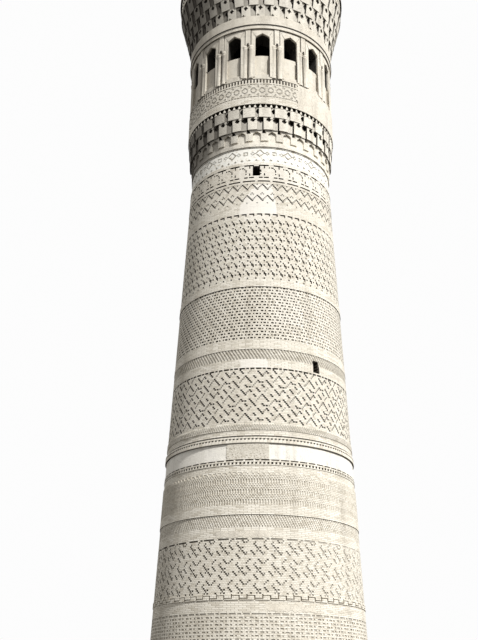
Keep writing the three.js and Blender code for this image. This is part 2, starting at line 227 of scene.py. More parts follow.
def matt(tree, base, height, depth, roughness):
    """The end of every material here: a matt mineral surface with a bump that is depth metres deep."""
    bump = add(tree, "ShaderNodeBump", {"Height": height, "Strength": 0.6, "Distance": depth})
    shader = add(tree, "ShaderNodeBsdfPrincipled", {
        "Base Color": base, "Normal": bump, "Roughness": roughness, "IOR": 1.5, "Specular IOR Level": 0.3})
    add(tree, "ShaderNodeOutputMaterial", {"Surface": shader})


def weather(tree, place, base, stain, runs_share, patch_share):
    """Broad grey weathering and dark runs down the wall, laid over a colour. Both are noise: the runs are
    stretched nine times along the height."""
    broad = add(tree, "ShaderNodeTexNoise", {
        "Vector": place, "Scale": per_metre(PATCHES), "Detail": 5.0, "Roughness": 0.62})
    share = add(tree, "ShaderNodeMapRange", {
        "Value": broad, "From Min": 0.42, "From Max": 0.72, "To Min": 0.0, "To Max": patch_share})
    base = add(tree, "ShaderNodeMix", {"Factor": share, "A": base, "B": stain}, data_type="RGBA")
    stretch = (per_metre(RUNS_WIDE), per_metre(RUNS_WIDE), per_metre(RUNS_TALL))
    stretched = add(tree, "ShaderNodeMapping", {"Vector": place, "Scale": stretch})
    runs = add(tree, "ShaderNodeTexNoise", {"Vector": stretched, "Scale": 1.0, "Detail": 3.0})
    dirt_and_shade = add(tree, "ShaderNodeMapRange", {
        "Value": runs, "From Min": 0.52, "From Max": 0.8, "To Min": 0.0, "To Max": runs_share})
    return add(tree, "ShaderNodeMix", {"Factor": dirt_and_shade, "A": base, "B": DUST}, data_type="RGBA")


def hollows(tree, base, share):
    """Painted shade on the sides and in the filled gaps of a relief, where its attribute `deep` says so."""
    deep = add(tree, "ShaderNodeAttribute", attribute_name="deep").outputs["Fac"]
    dirt_and_shade = add(tree, "ShaderNodeMath", {0: deep, 1: share}, operation="MULTIPLY")
    return add(tree, "ShaderNodeMix", {"Factor": dirt_and_shade, "A": base, "B": CRACK_AND_SHADE}, data_type="RGBA")


print("grey patches in one metre of the model: %.1f" % per_metre(PATCHES))

# %% The brick itself
SAND = 18.2  # millimetres: real sand is finer, but this is the finest grain that shows


def fired_brick(name, relief=True, pale=BRICK_PALE, buff=BRICK_BUFF, grey=BRICK_GREY):
    """Fired brick in gypsum mortar. The eye gets: a tone of its own for each brick, joints about 10 mm wide,
    a sandy grain, weathering with runs down the wall, paler brick where it was renewed, and painted shade in
    the gaps."""
    material, tree, place = empty_material(name)
    u, v = brick_map(tree, place, relief)
    row = add(tree, "ShaderNodeMath", {0: v}, operation="FLOOR")
    bond = add(tree, "ShaderNodeMath", {0: row, 1: 2.0}, operation="MODULO")
    moved = add(tree, "ShaderNodeMath", {0: u, 1: bond}, operation="ADD")
    along = add(tree, "ShaderNodeMath", {0: moved, 1: 0.5}, operation="MULTIPLY")
    column = add(tree, "ShaderNodeMath", {0: along}, operation="FLOOR")
    which = add(tree, "ShaderNodeCombineXYZ", {"X": column, "Y": row})
    chance = add(tree, "ShaderNodeTexWhiteNoise", {"Vector": which}, noise_dimensions="2D")
    kiln = add(tree, "ShaderNodeValToRGB", {"Fac": chance})
    kiln.color_ramp.elements[0].color = grey
    kiln.color_ramp.elements[1].color = pale
    kiln.color_ramp.elements.new(0.3).color = buff

    # A joint is where the place in the brick is near 0 or 1: the distance to the nearer end or bed.
    end = add(tree, "ShaderNodeMath", {0: along, 1: 0.5}, operation="PINGPONG")
    long_end = add(tree, "ShaderNodeMath", {0: end, 1: 2.0}, operation="MULTIPLY")
    edge = add(tree, "ShaderNodeMath", {0: v, 1: 0.5}, operation="PINGPONG")
    near = add(tree, "ShaderNodeMath", {0: long_end, 1: edge}, operation="MINIMUM")
    joint = add(tree, "ShaderNodeMapRange", {
        "Value": near, "From Min": JOINT, "From Max": JOINT_EDGE, "To Min": 1.0, "To Max": 0.0})
    share = add(tree, "ShaderNodeMath", {0: joint, 1: 0.6}, operation="MULTIPLY")
    base = add(tree, "ShaderNodeMix", {"Factor": share, "A": kiln, "B": MORTAR}, data_type="RGBA")
    base = weather(tree, place, base, grey, 0.22, 0.5)
    if relief:
        fresh = add(tree, "ShaderNodeAttribute", attribute_name="fresh").outputs["Fac"]
        base = add(tree, "ShaderNodeMix", {"Factor": fresh, "A": base, "B": FRESH}, data_type="RGBA")
        # Painted shade on the sides and in the filled gaps.
        base = hollows(tree, base, 0.85)
    grain = add(tree, "ShaderNodeTexNoise", {"Vector": place, "Scale": per_metre(SAND), "Detail": 4.0})
    sand = add(tree, "ShaderNodeMath", {0: grain, 1: 0.35}, operation="MULTIPLY")
    dents = add(tree, "ShaderNodeMath", {0: sand, 1: joint}, operation="SUBTRACT")
    matt(tree, base, dents, 0.006, 0.92)
    return material


BRICK = fired_brick("fired_brick_in_relief")
BRICK_PLAIN = fired_brick("fired_brick_plain", relief=False)
BRICK_BED = fired_brick("mortar_bed_painted_in_shade", False, BED_PALE, BED_PALE, BED_DARK)
LIGHTLY_SHADED_BED = fired_brick("mortar_bed_painted_in_light_shade", False, BED_LIGHT_SHADE, BED_LIGHT_SHADE, BED_GREY)
print("kinds of brick: 4")

# %% [markdown]
# ## Gypsum render
# The lantern and the old repairs are rendered by hand with gypsum and lime. The trowel leaves soft waves,
# sand leaves pits, and fine cracks open as the render shrinks. In brick colours the same surface serves for
# the carved brick of the muqarnas. Hollows behind the face are painted black as shade, and the left flank is
# painted dark as shade.

# %% Render
TROWEL, CRACKS, PITS = 500, 400, 52.6  # millimetres
# The left flank's painted shade begins at the second mark and is full at the first.
DARK_FLANK, UNSHADED_FLANK = -1.5, -0.2  # model metres to the right of the axis


def shaded_behind_face(tree, place, base, radius, lean, near, far):
    """Painted shade behind the face. The face lies at radius + lean z, and the render is painted black from
    near to far behind it. All are model metres, and the depth is the face's radius less the distance from the
    axis."""
    level = add(tree, "ShaderNodeMapping", {"Vector": place, "Scale": (1.0, 1.0, 0.0)})
    out = add(tree, "ShaderNodeVectorMath", {0: level}, operation="LENGTH").outputs["Value"]
    height = add(tree, "ShaderNodeSeparateXYZ", {0: place}).outputs["Z"]
    face = add(tree, "ShaderNodeMath", {0: height, 1: lean, 2: radius}, operation="MULTIPLY_ADD")
    behind = add(tree, "ShaderNodeMath", {0: face, 1: out}, operation="SUBTRACT")
    black = add(tree, "ShaderNodeMapRange", {
        "Value": behind, "From Min": near, "From Max": far, "To Min": 0.0, "To Max": 0.97})
    return add(tree, "ShaderNodeMix", {"Factor": black, "A": base, "B": SHADE_BLACK}, data_type="RGBA")


def shaded_flank(tree, place, base, share):
    """The left flank, painted darker evenly as shade, from none at the second flank mark to share at the
    first.
    """
    to_the_right = add(tree, "ShaderNodeSeparateXYZ", {0: place}).outputs["X"]
    flank = add(tree, "ShaderNodeMapRange", {
        "Value": to_the_right, "From Min": DARK_FLANK, "From Max": UNSHADED_FLANK, "To Min": share, "To Max":
        0.0})
    return add(tree, "ShaderNodeMix", {"Factor": flank, "A": base, "B": CRACK_AND_SHADE}, data_type="RGBA")


def lime_plaster(name, pale=RENDER_PALE, grey=RENDER_GREY, worn=0.6, shade_behind=None, dirt_and_shade=0.0, flank_shade=0.0):
    """Render of gypsum and lime, laid on by hand and weathered. The eye gets: soft waves of the trowel, sandy
    pits, fine cracks and grey runs. The cracks are the thin walls between bent Voronoi cells. The last three
    arguments are painted shade: black in hollows behind the face, dark on the sides of a relief, and dark on
    the left flank."""
    material, tree, place = empty_material(name)
    coarse = add(tree, "ShaderNodeTexNoise", {
        "Vector": place, "Scale": per_metre(TROWEL), "Detail": 6.0, "Roughness": 0.6})
    base = add(tree, "ShaderNodeMix", {"Factor": coarse, "A": pale, "B": grey}, data_type="RGBA")
    base = weather(tree, place, base, grey, 0.45, worn)
    bent = add(tree, "ShaderNodeVectorMath", {0: place, 1: coarse.outputs["Color"]}, operation="ADD")
    cells = add(tree, "ShaderNodeTexVoronoi", {"Vector": bent, "Scale": per_metre(CRACKS)},
                feature="DISTANCE_TO_EDGE")
    crack = add(tree, "ShaderNodeMapRange", {
        "Value": cells.outputs["Distance"], "From Min": 0.0, "From Max": 0.02, "To Min": 0.35, "To Max": 0.0})
    base = add(tree, "ShaderNodeMix", {"Factor": crack, "A": base, "B": CRACK_AND_SHADE}, data_type="RGBA")
    if shade_behind:
        base = shaded_behind_face(tree, place, base, *shade_behind)
    if dirt_and_shade:
        base = hollows(tree, base, dirt_and_shade)
    if flank_shade:
        base = shaded_flank(tree, place, base, flank_shade)
    pits = add(tree, "ShaderNodeTexNoise", {
        "Vector": place, "Scale": per_metre(PITS), "Detail": 8.0, "Roughness": 0.7})
    waves = add(tree, "ShaderNodeMath", {0: coarse, 1: 1.5}, operation="MULTIPLY")
    rough = add(tree, "ShaderNodeMath", {0: waves, 1: pits}, operation="ADD")
    dents = add(tree, "ShaderNodeMath", {0: rough, 1: crack}, operation="SUBTRACT")
    matt(tree, base, dents, 0.012, 0.88)
    return material


# Painted shade in these materials: render darkens on the left flank, the lantern's inside is painted black,
# carved brick darkens on the sides of its relief and on the left flank, and the niches' backs and the
# cornerwise notches are painted black.
RENDER = lime_plaster("lime_plaster", flank_shade=0.3)
RENDER_LANTERN = lime_plaster("lime_plaster_of_the_lantern", shade_behind=(1.61, 0.0, 0.012, 0.05), flank_shade=0.3)
RENDER_FRESH = lime_plaster("lime_plaster_renewed", pale=RENDER_WHITE, grey=RENDER_PALE, worn=0.3)
CARVED = lime_plaster("carved_brick", BRICK_PALE, BRICK_BUFF, dirt_and_shade=0.9, flank_shade=0.8)
CARVED_NICHES = lime_plaster("carved_brick_of_the_niches", BRICK_PALE, BRICK_BUFF,
                             shade_behind=(-0.1025, 0.093, 0.048, 0.06), flank_shade=0.8)
CORNERWISE = lime_plaster("cornerwise_brick", BRICK_PALE, BRICK_BUFF, shade_behind=(1.627, 0.0, 0.006, 0.03))
# A near-black render painted as shade, for the grooves, the shadow lines and the solids behind the muqarnas.
GROOVE_SHADE = lime_plaster("painted_shade_in_the_grooves", CRACK_AND_SHADE, SHADE_BLACK)
print("kinds of render and carving: 7")

# %% [markdown]
# ## Glazed brick, and every solid's material
# The glaze is half gloss and long weathered: it has chipped off in places, and the dull body shows. Then each
# solid of the frame gets its material by the start of its name.

# %% Glaze
TILE, CHIPS = 125, 91  # millimetres


def glazed_tile(name):
    """Glazed brick: a pale and a bluish glaze that change from tile to tile, with the body showing where the
    glaze has chipped off. The tiles are Voronoi cells, and the chips are where a noise is high."""
    material, tree, place = empty_material(name)
    tiles = add(tree, "ShaderNodeTexVoronoi", {"Vector": place, "Scale": per_metre(TILE)})
    tone = add(tree, "ShaderNodeSeparateXYZ", {0: tiles.outputs["Color"]})
    base = add(tree, "ShaderNodeMix", {"Factor": tone, "A": GLAZE_PALE, "B": GLAZE_BLUE}, data_type="RGBA")
    chips = add(tree, "ShaderNodeTexNoise", {"Vector": place, "Scale": per_metre(CHIPS), "Detail": 5.0})
    bare = add(tree, "ShaderNodeMapRange", {
        "Value": chips, "From Min": 0.55, "From Max": 0.6, "To Min": 0.0, "To Max": 0.8})
    base = add(tree, "ShaderNodeMix", {"Factor": bare, "A": base, "B": RENDER_GREY}, data_type="RGBA")
    # Painted shade on the sides of the cut outlines.
    matt(tree, hollows(tree, base, 0.5), chips, 0.003, 0.75)
    return material


GLAZE = glazed_tile("glazed_tile")
print("glaze:", GLAZE.name)

# %% Materials of the solids
# The solids that show through gaps and slots, and the drum behind its relief, take dark materials as painted
# shade; solids not named here take the dark bed.
SURFACES = {
    "brick_pair_band": LIGHTLY_SHADED_BED, "stroke_lattice_band": LIGHTLY_SHADED_BED, "herringbone_band": LIGHTLY_SHADED_BED,
    "plinth": BRICK_PLAIN, "lantern_drum": BRICK_BED, "roof_stub": BRICK_PLAIN, "roof": RENDER,
    "lower_muqarnas_1": CARVED_NICHES, "lower_muqarnas": GROOVE_SHADE, "upper_muqarnas": GROOVE_SHADE,
    "lantern_parapet": RENDER, "lantern": RENDER_LANTERN, "arcade_head": RENDER_LANTERN,
    "glazed_frieze": GLAZE}

for node_name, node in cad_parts.items():
    start = next((name for name in SURFACES if node_name.startswith(name)), None)
    for material_slot in node.material_slots:
        material_slot.material = SURFACES[start] if start else BRICK_BED
print("materials:", len(bpy.data.materials))

# %% [markdown]
# ## Brick relief as a table of heights
# The shaft's patterns are brickwork with some half bricks left back, so that dark gaps draw the figure. Half
# a million boxes would be mostly hidden faces. Such a wall is a table: a row for each course, a column for
# each half brick, and in each cell how far that brick stands out. numpy turns it into faces at once: a front
# for each brick, an upright side wherever two neighbours in a course differ, and a ledge wherever two courses
# differ. Behind the gaps the solid of the frame shows, as mortar bed painted dark as shade.

# %% The cone
CORE_RADIUS, TAPER = 4.47, 0.0425
PROUD = 0.035  # how far the brick faces stand in front of the solid shaft
BED = -0.016  # the sides of the bricks reach this far behind its round line, as the solid has facets
GAP_SHADE = (0.45, 1.0)  # how dark the filled gaps and the sides of the bricks are painted, as shade
SAME = 1e-4  # heights that differ by less need no side between them


def core(z):
    """The radius of the solid shaft: it shrinks evenly with height."""
    return CORE_RADIUS - TAPER * z


def spot(azimuth, radius, z):
    """A point round the axis: x is the radius times the sine of the azimuth, y is minus the radius times its
    cosine. The azimuth is in degrees from the front, counted to the right."""
    a, r, z = np.broadcast_arrays(np.radians(azimuth), radius, z)
    return MODEL * np.stack([r * np.sin(a), -r * np.cos(a), z], -1)


print("shaft radius at the glazed frieze: %.2f m" % core(34.2))


# %% A table of heights as faces
def relief(z0, z1, height, turn=0.0, span=360.0, radius=core, units=None, dirt_and_shade=GAP_SHADE):
    """Faces of a table of heights that is wrapped round the tower from z0 to z1. Cell (i, j) lies between
    azimuths turn + span j / columns and the next, and its front is radius(z) + height. A cell at BED has no
    front. units are the half bricks and courses of the map. The last argument is painted shade: how dark the
    filled gaps are painted, as one number or one for each column, and how dark the sides are."""
    rows, columns = height.shape
    azimuth = turn + span * np.arange(columns + 1) / columns
    level = np.linspace(z0, z1, rows + 1)
    around, up = units or (columns, rows)
    u = around * np.arange(columns + 1) / columns
    v = up * np.arange(rows + 1) / rows

    def corners(j, i, h):
        j, i, h = (np.stack(list(np.broadcast_arrays(*part)), -1) for part in (j, i, h))
        return spot(azimuth[j], radius(level[i]) + h, level[i]), np.stack([u[j], v[i]], -1)

    i, j = np.nonzero(height > BED)
    h = height[i, j]
    fronts = corners((j, j + 1, j + 1, j), (i, i, i + 1, i + 1), (h, h, h, h))

    if span == 360.0:
        before, after, edge = height, np.roll(height, -1, axis=1), np.arange(1, columns + 1)
    else:
        rim = np.full((rows, 1), BED)
        before, after, edge = np.hstack([rim, height]), np.hstack([height, rim]), np.arange(columns + 1)
    i, e = np.nonzero(np.abs(before - after) > SAME)
    b, c, at = before[i, e], after[i, e], edge[e]
    sides = corners((at, at, at, at), (i, i, i + 1, i + 1), (b, c, c, b))

    rim = np.full((1, columns), BED)
    below, over = np.vstack([rim, height]), np.vstack([height, rim])
    k, j = np.nonzero(np.abs(below - over) > SAME)
    b, c = below[k, j], over[k, j]
    ledges = corners((j, j + 1, j + 1, j), (k, k, k, k), (b, b, c, c))

    # A side or a ledge has no width on the map, so it borrows a strip of the brick beside it.
    across_side, along_ledge = 0.3 * np.array([
        [[0, 0], [1, 0], [1, 0], [0, 0]], [[0, 0], [0, 0], [0, 1], [0, 1]]])
    points = np.concatenate([fronts[0], sides[0], ledges[0]])
    maps = np.concatenate([fronts[1], sides[1] + across_side, ledges[1] + along_ledge])
    # Painted shade: the sides, and the fronts of filled gaps, take a share of darkness in the attribute
    # `deep`.
    smooth = np.arange(len(points)) < len(fronts[0])
    deep = np.full(len(points), dirt_and_shade[1])
    filled = h < 0.85 * height.max()
    deep[smooth] = np.where(filled, np.broadcast_to(dirt_and_shade[0], height.shape)[height > BED], 0.0)
    return points, maps, smooth, deep


print("faces of a course of four bricks:", len(relief(0.0, COURSE, np.full((1, 4), PROUD))[0]))

# %% [markdown]
# ## Faces as a piece
# All parts of a piece go into one mesh. Corners in the same place are welded, fronts with fronts and sides
# with sides, so that a band is smooth round the tower and its bricks keep sharp edges. Each face also tells
# the material how much painted shade it takes, and how much its brick was renewed.

# %% Renewed brick
WELD = 2e-5  # corners are welded where they agree in steps of this many model metres

# Azimuths of the left edge at its foot and head, the same for the right edge, then foot, head and share.
RENEWED = [((-16, -14.5), (12.5, 12), 31.8, 32.1, 0.75), ((-14.5, -3.5), (11.5, 7.5), 32.1, 33.16, 0.75),
           ((-12, -12), (5, 5), 25.1, 25.43, 0.7), ((-12, -10), (9, 9), 31.4, 31.8, 0.4),
           ((-16, -16), (60, 60), 33.2, 34.23, 0.3), ((8, 12), (30, 26), 26.9, 28.4, 0.3)]


def renewed(azimuth, z):
    """How much of the brick was renewed, from 0 to 1. The left and the right edge of each place lean evenly
    from its foot to its head, and waver by the sum of two sine waves."""
    share = np.zeros_like(z)
    for left, right, z0, z1, amount in RENEWED:
        up = np.clip((z - z0) / (z1 - z0), 0, 1)
        wave = 0.6 * np.sin(azimuth * 1.9 + z * 7) + 0.4 * np.sin(azimuth * 0.7 - z * 13)
        low, high = (side[0] + (side[1] - side[0]) * up + wave for side in (left, right))
        inside = (azimuth > low) & (azimuth < high) & (z > z0) & (z < z1)
        share = np.where(inside, np.maximum(share, amount), share)
    return share


print("renewed places:", len(RENEWED))


# %% The mesh of a piece
def build(name, parts, material):
    """One mesh from lists of four-cornered faces. A face with two corners in one place is left out. The piece
    rides on the tower."""
    points, maps, smooth, deep = (np.concatenate(column) for column in zip(*parts))
    places = np.column_stack([np.round(points.reshape(-1, 3) / WELD), np.repeat(smooth, 4)]).astype(np.int64)
    unique, index = np.unique(places, axis=0, return_inverse=True)
    faces = index.reshape(-1, 4)
    keep = (faces != np.roll(faces, -1, axis=1)).all(1)
    faces, maps, smooth, deep = faces[keep], maps[keep], smooth[keep], deep[keep]
    middle = points.mean(1)[keep]

    mesh = bpy.data.meshes.new(name)
    mesh.vertices.add(len(unique))
    mesh.vertices.foreach_set("co", (unique[:, :3] * WELD).astype(np.float32).ravel())
    mesh.loops.add(faces.size)
    mesh.loops.foreach_set("vertex_index", faces.astype(np.int32).ravel())
    mesh.polygons.add(len(faces))
    mesh.polygons.foreach_set("loop_start", np.arange(0, faces.size, 4, dtype=np.int32))
    mesh.polygons.foreach_set("use_smooth", smooth)
    mesh.uv_layers.new(name="courses").data.foreach_set("uv", maps.astype(np.float32).ravel())
    azimuth = np.degrees(np.arctan2(middle[:, 0], -middle[:, 1]))
    for paint, amount in (("fresh", renewed(azimuth, middle[:, 2] / MODEL)), ("deep", deep)):
        mesh.attributes.new(paint, "FLOAT", "FACE").data.foreach_set("value", amount.astype(np.float32))
    mesh.update(calc_edges=True)
    mesh.validate()
    mesh.materials.append(material)

    piece = bpy.data.objects.new(name, mesh)
    bpy.context.scene.collection.objects.link(piece)
    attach(piece, "root")
    print(f"{name}: {2 * len(faces)} triangles")


print("corners are welded within %.2f mm" % (1000 * WELD))

# %% [markdown]
# ## Small tables
# A pattern is a table of gaps: 0 where a brick is flush, 1 where it is left out down to the bed, and between
# them where a gap is shallow. Sun and rain leave the gaps deeper on one side of the tower, so an amount can
# change round it. Plain courses are a table with one row.

# %% From gaps to heights
PLAIN_COLUMNS = 120


def table(rows, columns):
    """Row and column numbers of a table, as two arrays."""
    return np.meshgrid(np.arange(rows), np.arange(columns), indexing="ij")


def laid(gap, proud=PROUD):
    """Heights from a table of gaps: the bed where a gap is open, and otherwise the brick face less the gap's
    depth, in whole millimetres, so that neighbours that are nearly as deep need no side between them."""
    return np.where(gap == 1, BED, np.round(proud * (1 - gap), 3))


def plain(z0, z1, proud=PROUD, radius=core):
    """Plain courses: one smooth ring, with its map in half bricks and courses."""
    around = 2 * round(math.pi * radius((z0 + z1) / 2) / HALF_BRICK)
    return relief(z0, z1, np.full((1, PLAIN_COLUMNS), proud), radius=radius,
                  units=(around, max(1, round((z1 - z0) / COURSE))))


def turn_for(azimuth, column, columns):
    """The turn that brings the left edge of a column to an azimuth."""
    return azimuth - 360.0 * column / columns


def round_the_front(columns, full, least, start=0.0, middle=-25.0):
    """An amount for each column of a table: full where the azimuth is middle, falling to least on the other
    side of the tower. It follows the square of half of one plus the cosine of the angle between."""
    azimuth = np.radians(start - middle + 360.0 * (np.arange(columns) + 0.5) / columns)
    return least + (full - least) * (0.5 + 0.5 * np.cos(azimuth)) ** 2


print("a gap of half the depth stands at %.4f m" % laid(0.5))

# %% [markdown]
# ## The great diamond lattice
# The widest band shows straps that cross slantwise. In the table a slanting line is a plain sum: cells with
# the same j + i lie on a line that falls to the right, and those with the same j - i on one that rises. A
# line is dug in strokes, with a bridge wherever a strap passes over it, and the figure repeats every 12 cells
# along both slants. Under it runs a rope of bricks set on edge.

# %% Slanting lines
FILLED = 0.5  # depth of a filled gap, as a share of an open one


def halved(falls, others, depth):
    """Gaps with each cell cut in half. A falling gap takes half a cell more, so that it joins the one in the
    next course. The others are shallower."""
    falls, others = np.repeat(falls, 2, axis=1), np.repeat(others, 2, axis=1)
    return np.where(falls | np.roll(falls, 1, axis=1), 1.0, depth * others)


def strokes(rows, columns, falling, rising, repeat=24):
    """Gaps on slanting lines. falling maps j + i, modulo repeat, to the cells j modulo repeat / 2 that are
    dug on that line, and rising does the same for j - i. The rising ones are filled with old mortar."""
    i, j = table(rows, columns)
    falls, rises = np.zeros((2, rows, columns), bool)
    for line, cells in rising.items():
        rises |= ((j - i) % repeat == line) & np.isin(j % (repeat // 2), cells)
    for line, cells in falling.items():
        falls |= ((i + j) % repeat == line) & np.isin(j % (repeat // 2), cells)
    return halved(falls, rises, FILLED)


def diamonds(rows, columns):
    """The diamond figure: two long strokes on each strap line, and short ones on the lines midway between."""
    falling = {9: [0, 1, 2, 4, 5, 6, 7, 8], 21: [1, 2, 3, 4, 7, 8, 9, 10, 11], 3: [4, 5, 7, 8, 10, 11],
               15: [1, 2, 4, 5, 10, 11], 5: [7], 17: [4]}
    rising = {23: [0, 1, 2, 3, 6, 7, 8], 11: [9, 10, 11, 0, 5, 6]}
    return strokes(rows, columns, falling, rising)


def slanting(rows, columns, period, wide=1):
    """Gaps on lines that fall to the right: wide cells in each period, moved by one from course to course."""
    i, j = table(rows, columns)
    return (i + j) % period < wide


print("open share of the diamonds: %.2f" % (diamonds(24, 24) == 1).mean())

# %% Diamond band
DIAMOND_COLUMNS, DIAMOND_ROWS, ROPE_CELLS = 432, 34, 735
diamond_turn = turn_for(1.1, 16, DIAMOND_COLUMNS)
rope = laid(0.6 * slanting(4, ROPE_CELLS, 3), PROUD + 0.02)

build("diamond_band_bricks", [
    plain(22.54, 22.74), relief(22.74, 22.96, rope, units=(ROPE_CELLS / 3, 4), dirt_and_shade=(0.35, 0.3)),
    plain(22.96, 23.02),
    relief(23.02, 25.04, laid(diamonds(DIAMOND_ROWS, DIAMOND_COLUMNS)), diamond_turn,
           units=(DIAMOND_COLUMNS, DIAMOND_ROWS))], BRICK)

# %% [markdown]
# ## The stroke lattice, with a fret under it
# This band uses the same slanting lines, six cells apart, with shorter strokes. It is worn most at the left,
# so the depth of its gaps changes round the tower. Under it runs a fret: two level lines that hook into each
# other.

# %% Stroke lattice band
STROKE_COLUMNS, STROKE_ROWS, FRET_COLUMNS = 480, 32, 564
STROKE_WORN = -50.0  # azimuth of the deepest gaps


def stroke_lattice(rows, columns):
    """The lattice of short strokes, with a dashed line along its top."""
    falling = {13: [1, 2, 3, 6, 7, 8], 1: [3, 4, 5, 10, 11, 0], 7: [7, 8, 9, 0, 4, 5], 19: [7, 8, 0, 3, 4, 5],
               9: [7], 21: [7]}
    rising = {5: [10, 11, 5, 6], 11: [3, 4, 9, 10], 17: [10, 11, 5, 6], 23: [3, 4, 9, 10]}
    gap = strokes(rows, columns, falling, rising)
    gap[-1] = 0.6 * np.isin(np.arange(2 * columns) // 2 % 24, [2, 11, 12, 13, 22, 23], invert=True)
    return gap


def fret(columns):
    """A fret of six thin rows with a period of 12 cells: two level lines that take turns, a stroke that
    stands on the lower one, and a stroke that hangs from the upper one."""
    i, j = table(6, columns)
    k = j % 12
    level = ((i == 1) & (k >= 6)) | ((i == 4) & (k <= 6))
    return np.where((k == 0) & (i >= 1) | (k == 6) & (i <= 4), 1.0, FILLED * level)


stroke_turn = turn_for(-0.69, 18, STROKE_COLUMNS)
stroke_depth = round_the_front(2 * STROKE_COLUMNS, 1.0, 0.35, stroke_turn, STROKE_WORN)
# Painted shade in the gaps, darkest on the left where the gaps are deepest.
stroke_shade = round_the_front(2 * STROKE_COLUMNS, 1.0, 0.1, stroke_turn, STROKE_WORN)
build("stroke_lattice_bricks", [
    plain(16.66, 17.06),
    relief(17.06, 17.24, laid(fret(FRET_COLUMNS), PROUD + 0.02), turn_for(1.9, 0.5, FRET_COLUMNS),
           units=(FRET_COLUMNS / 2, 3), dirt_and_shade=(0.3, 0.3)),
    relief(17.24, 19.01, laid(stroke_lattice(STROKE_ROWS, STROKE_COLUMNS) * stroke_depth), stroke_turn,
           units=(STROKE_COLUMNS, STROKE_ROWS), dirt_and_shade=(stroke_shade, 0.6)),
    plain(19.01, 19.31)], BRICK)

# %% [markdown]
# ## The basket bands
# One course is solid, and the next has small holes between its bricks, one or two cells wide. The row of
# holes moves by a few cells each time, so that broad diamonds seem to lie in it.


# %% Basket bands
def basket(rows, columns, shift=2, base=9):
    """Gaps in every other course. A hole takes cells 0, 3, 4, 6, 9, 11, 12, 14, 17 and 18 of each 20, and a
    row is moved by shift cells against the row above it. base moves the whole figure."""
    i, j = table(rows, columns)
    down = base - (i - 1) // 2
    hole = np.isin((j - shift * down) % 20, [0, 3, 4, 6, 9, 11, 12, 14, 17, 18])
    return hole & (i % 2 == 1)


def dashes(columns, period, bridges):
    """One course of gaps, broken by the bridges in each period."""
    return np.isin(np.arange(columns) % period, bridges, invert=True)[None, :]


BASKET_COLUMNS, PAIR_COLUMNS = 440, 420
basket_turn = turn_for(-3.2, 12.3, BASKET_COLUMNS)
basket_depth = round_the_front(BASKET_COLUMNS, 1.0, 0.3)
# Painted shade in the gaps, darkest on the left.
basket_shade = round_the_front(BASKET_COLUMNS, 1.0, 0.1, basket_turn)
build("basket_band_bricks", [
    relief(26.2, 28.43, laid(basket(36, BASKET_COLUMNS) * basket_depth), basket_turn,
           dirt_and_shade=(basket_shade, 0.9)),
    plain(28.43, 28.71, PROUD + 0.021)], BRICK)
build("brick_pair_bricks", [
    plain(13.7, 13.94), relief(13.94, 16.6, laid(0.55 * basket(49, PAIR_COLUMNS, 3, 7)), dirt_and_shade=(0.3, 0.3)),
    relief(16.6, 16.66, laid(0.4 * dashes(PAIR_COLUMNS, 13, [4, 7, 12])), dirt_and_shade=(0.4, 0.3))], BRICK)

# %% [markdown]
# ## The band of small hooks
# Each cell of this band is six half bricks wide and six courses high, and each row of cells is moved by half
# a cell. A short chain of gaps steps down to the right, with single gaps beside it.

# %% Hook band
HOOK_ROWS, HOOK_COLUMNS, HOOK_FIRST = 46, 384, 11  # the last is a course in which hooks start


def hooks(rows, columns):
    """Gaps of the hook figure. From the head of a hook, x cells to the right and d courses down, the gaps are
    at (0, 0), (1, 1), (1, 2), (2, 2), (2, 3), (4, 2) and (1, 5). Above the last row runs a line of dashes."""
    i, j = table(rows, columns)
    down = HOOK_FIRST - i
    x, d = (j - 1 - 3 * (down // 6)) % 6, down % 6
    gap = np.zeros((rows, columns), bool)
    for gx, gd in ((0, 0), (1, 1), (1, 2), (2, 2), (2, 3), (4, 2), (1, 5)):
        gap |= (x == gx) & (d == gd)
    top = (np.arange(columns) + 2) % 6
    gap[-4:] = False
    gap[-1] = top >= 2
    gap[-2] = top == 5
    return gap


build("hook_band_bricks", [
    plain(28.71, 28.76),
    relief(28.76, 31.727, laid(hooks(HOOK_ROWS, HOOK_COLUMNS)), turn_for(-1.31, 1, HOOK_COLUMNS)),
    plain(31.727, 32.08)], BRICK)

# %% [markdown]
# ## Holes in the wall
# Two slit windows and the doorway are cut through the solids. Where a table of bricks meets such a hole, its
# cells are left out, so that no brickwork hangs in an opening.

# %% Holes in the wall
SLIT_HIGH = (-3.1, 0.28, 33.57, 33.98)  # azimuth, width, sill and head
SLIT_LOW = (37.3, 0.26, 25.17, 25.61)
DOORWAY = (180.0, 1.15, 5.0, 7.38)
TOUCH = 0.005  # a course that reaches less far than this into a hole stays


def without(height, z0, z1, hole, turn=0.0):
    """The table with the cells that a hole in the wall reaches left out."""
    azimuth, width, sill, head = hole
    rows, columns = height.shape
    z = z0 + (z1 - z0) * np.array([np.arange(rows), np.arange(1, rows + 1)]) / rows
    across = ((turn + 360.0 * (np.arange(columns) + 0.5) / columns - azimuth + 180.0) % 360.0) - 180.0
    reach = np.degrees(width / 2 / core(sill)) + 100.0 / columns
    wide = np.abs(across) < reach
    tall = (z[1] > sill + TOUCH) & (z[0] < head - TOUCH)
    return np.where(tall[:, None] & wide[None, :], BED, height)


def plain_with(z0, z1, hole, columns=DIAMOND_COLUMNS):
    """Plain courses with a hole: a table with a row for each course."""
    rows = max(1, round((z1 - z0) / COURSE))
    around = 2 * round(math.pi * core(z0) / HALF_BRICK)
    return relief(z0, z1, without(np.full((rows, columns), PROUD), z0, z1, hole), units=(around, rows))


print("the doorway is %.2f m wide" % DOORWAY[1])

# %% [markdown]
# ## The chain and the star band
# Two zigzag straps with small peaks between them make the chain. The star band above lies between dashed
# lines: straps cross every 12 cells, and gaps round each crossing leave a star standing between two of them.

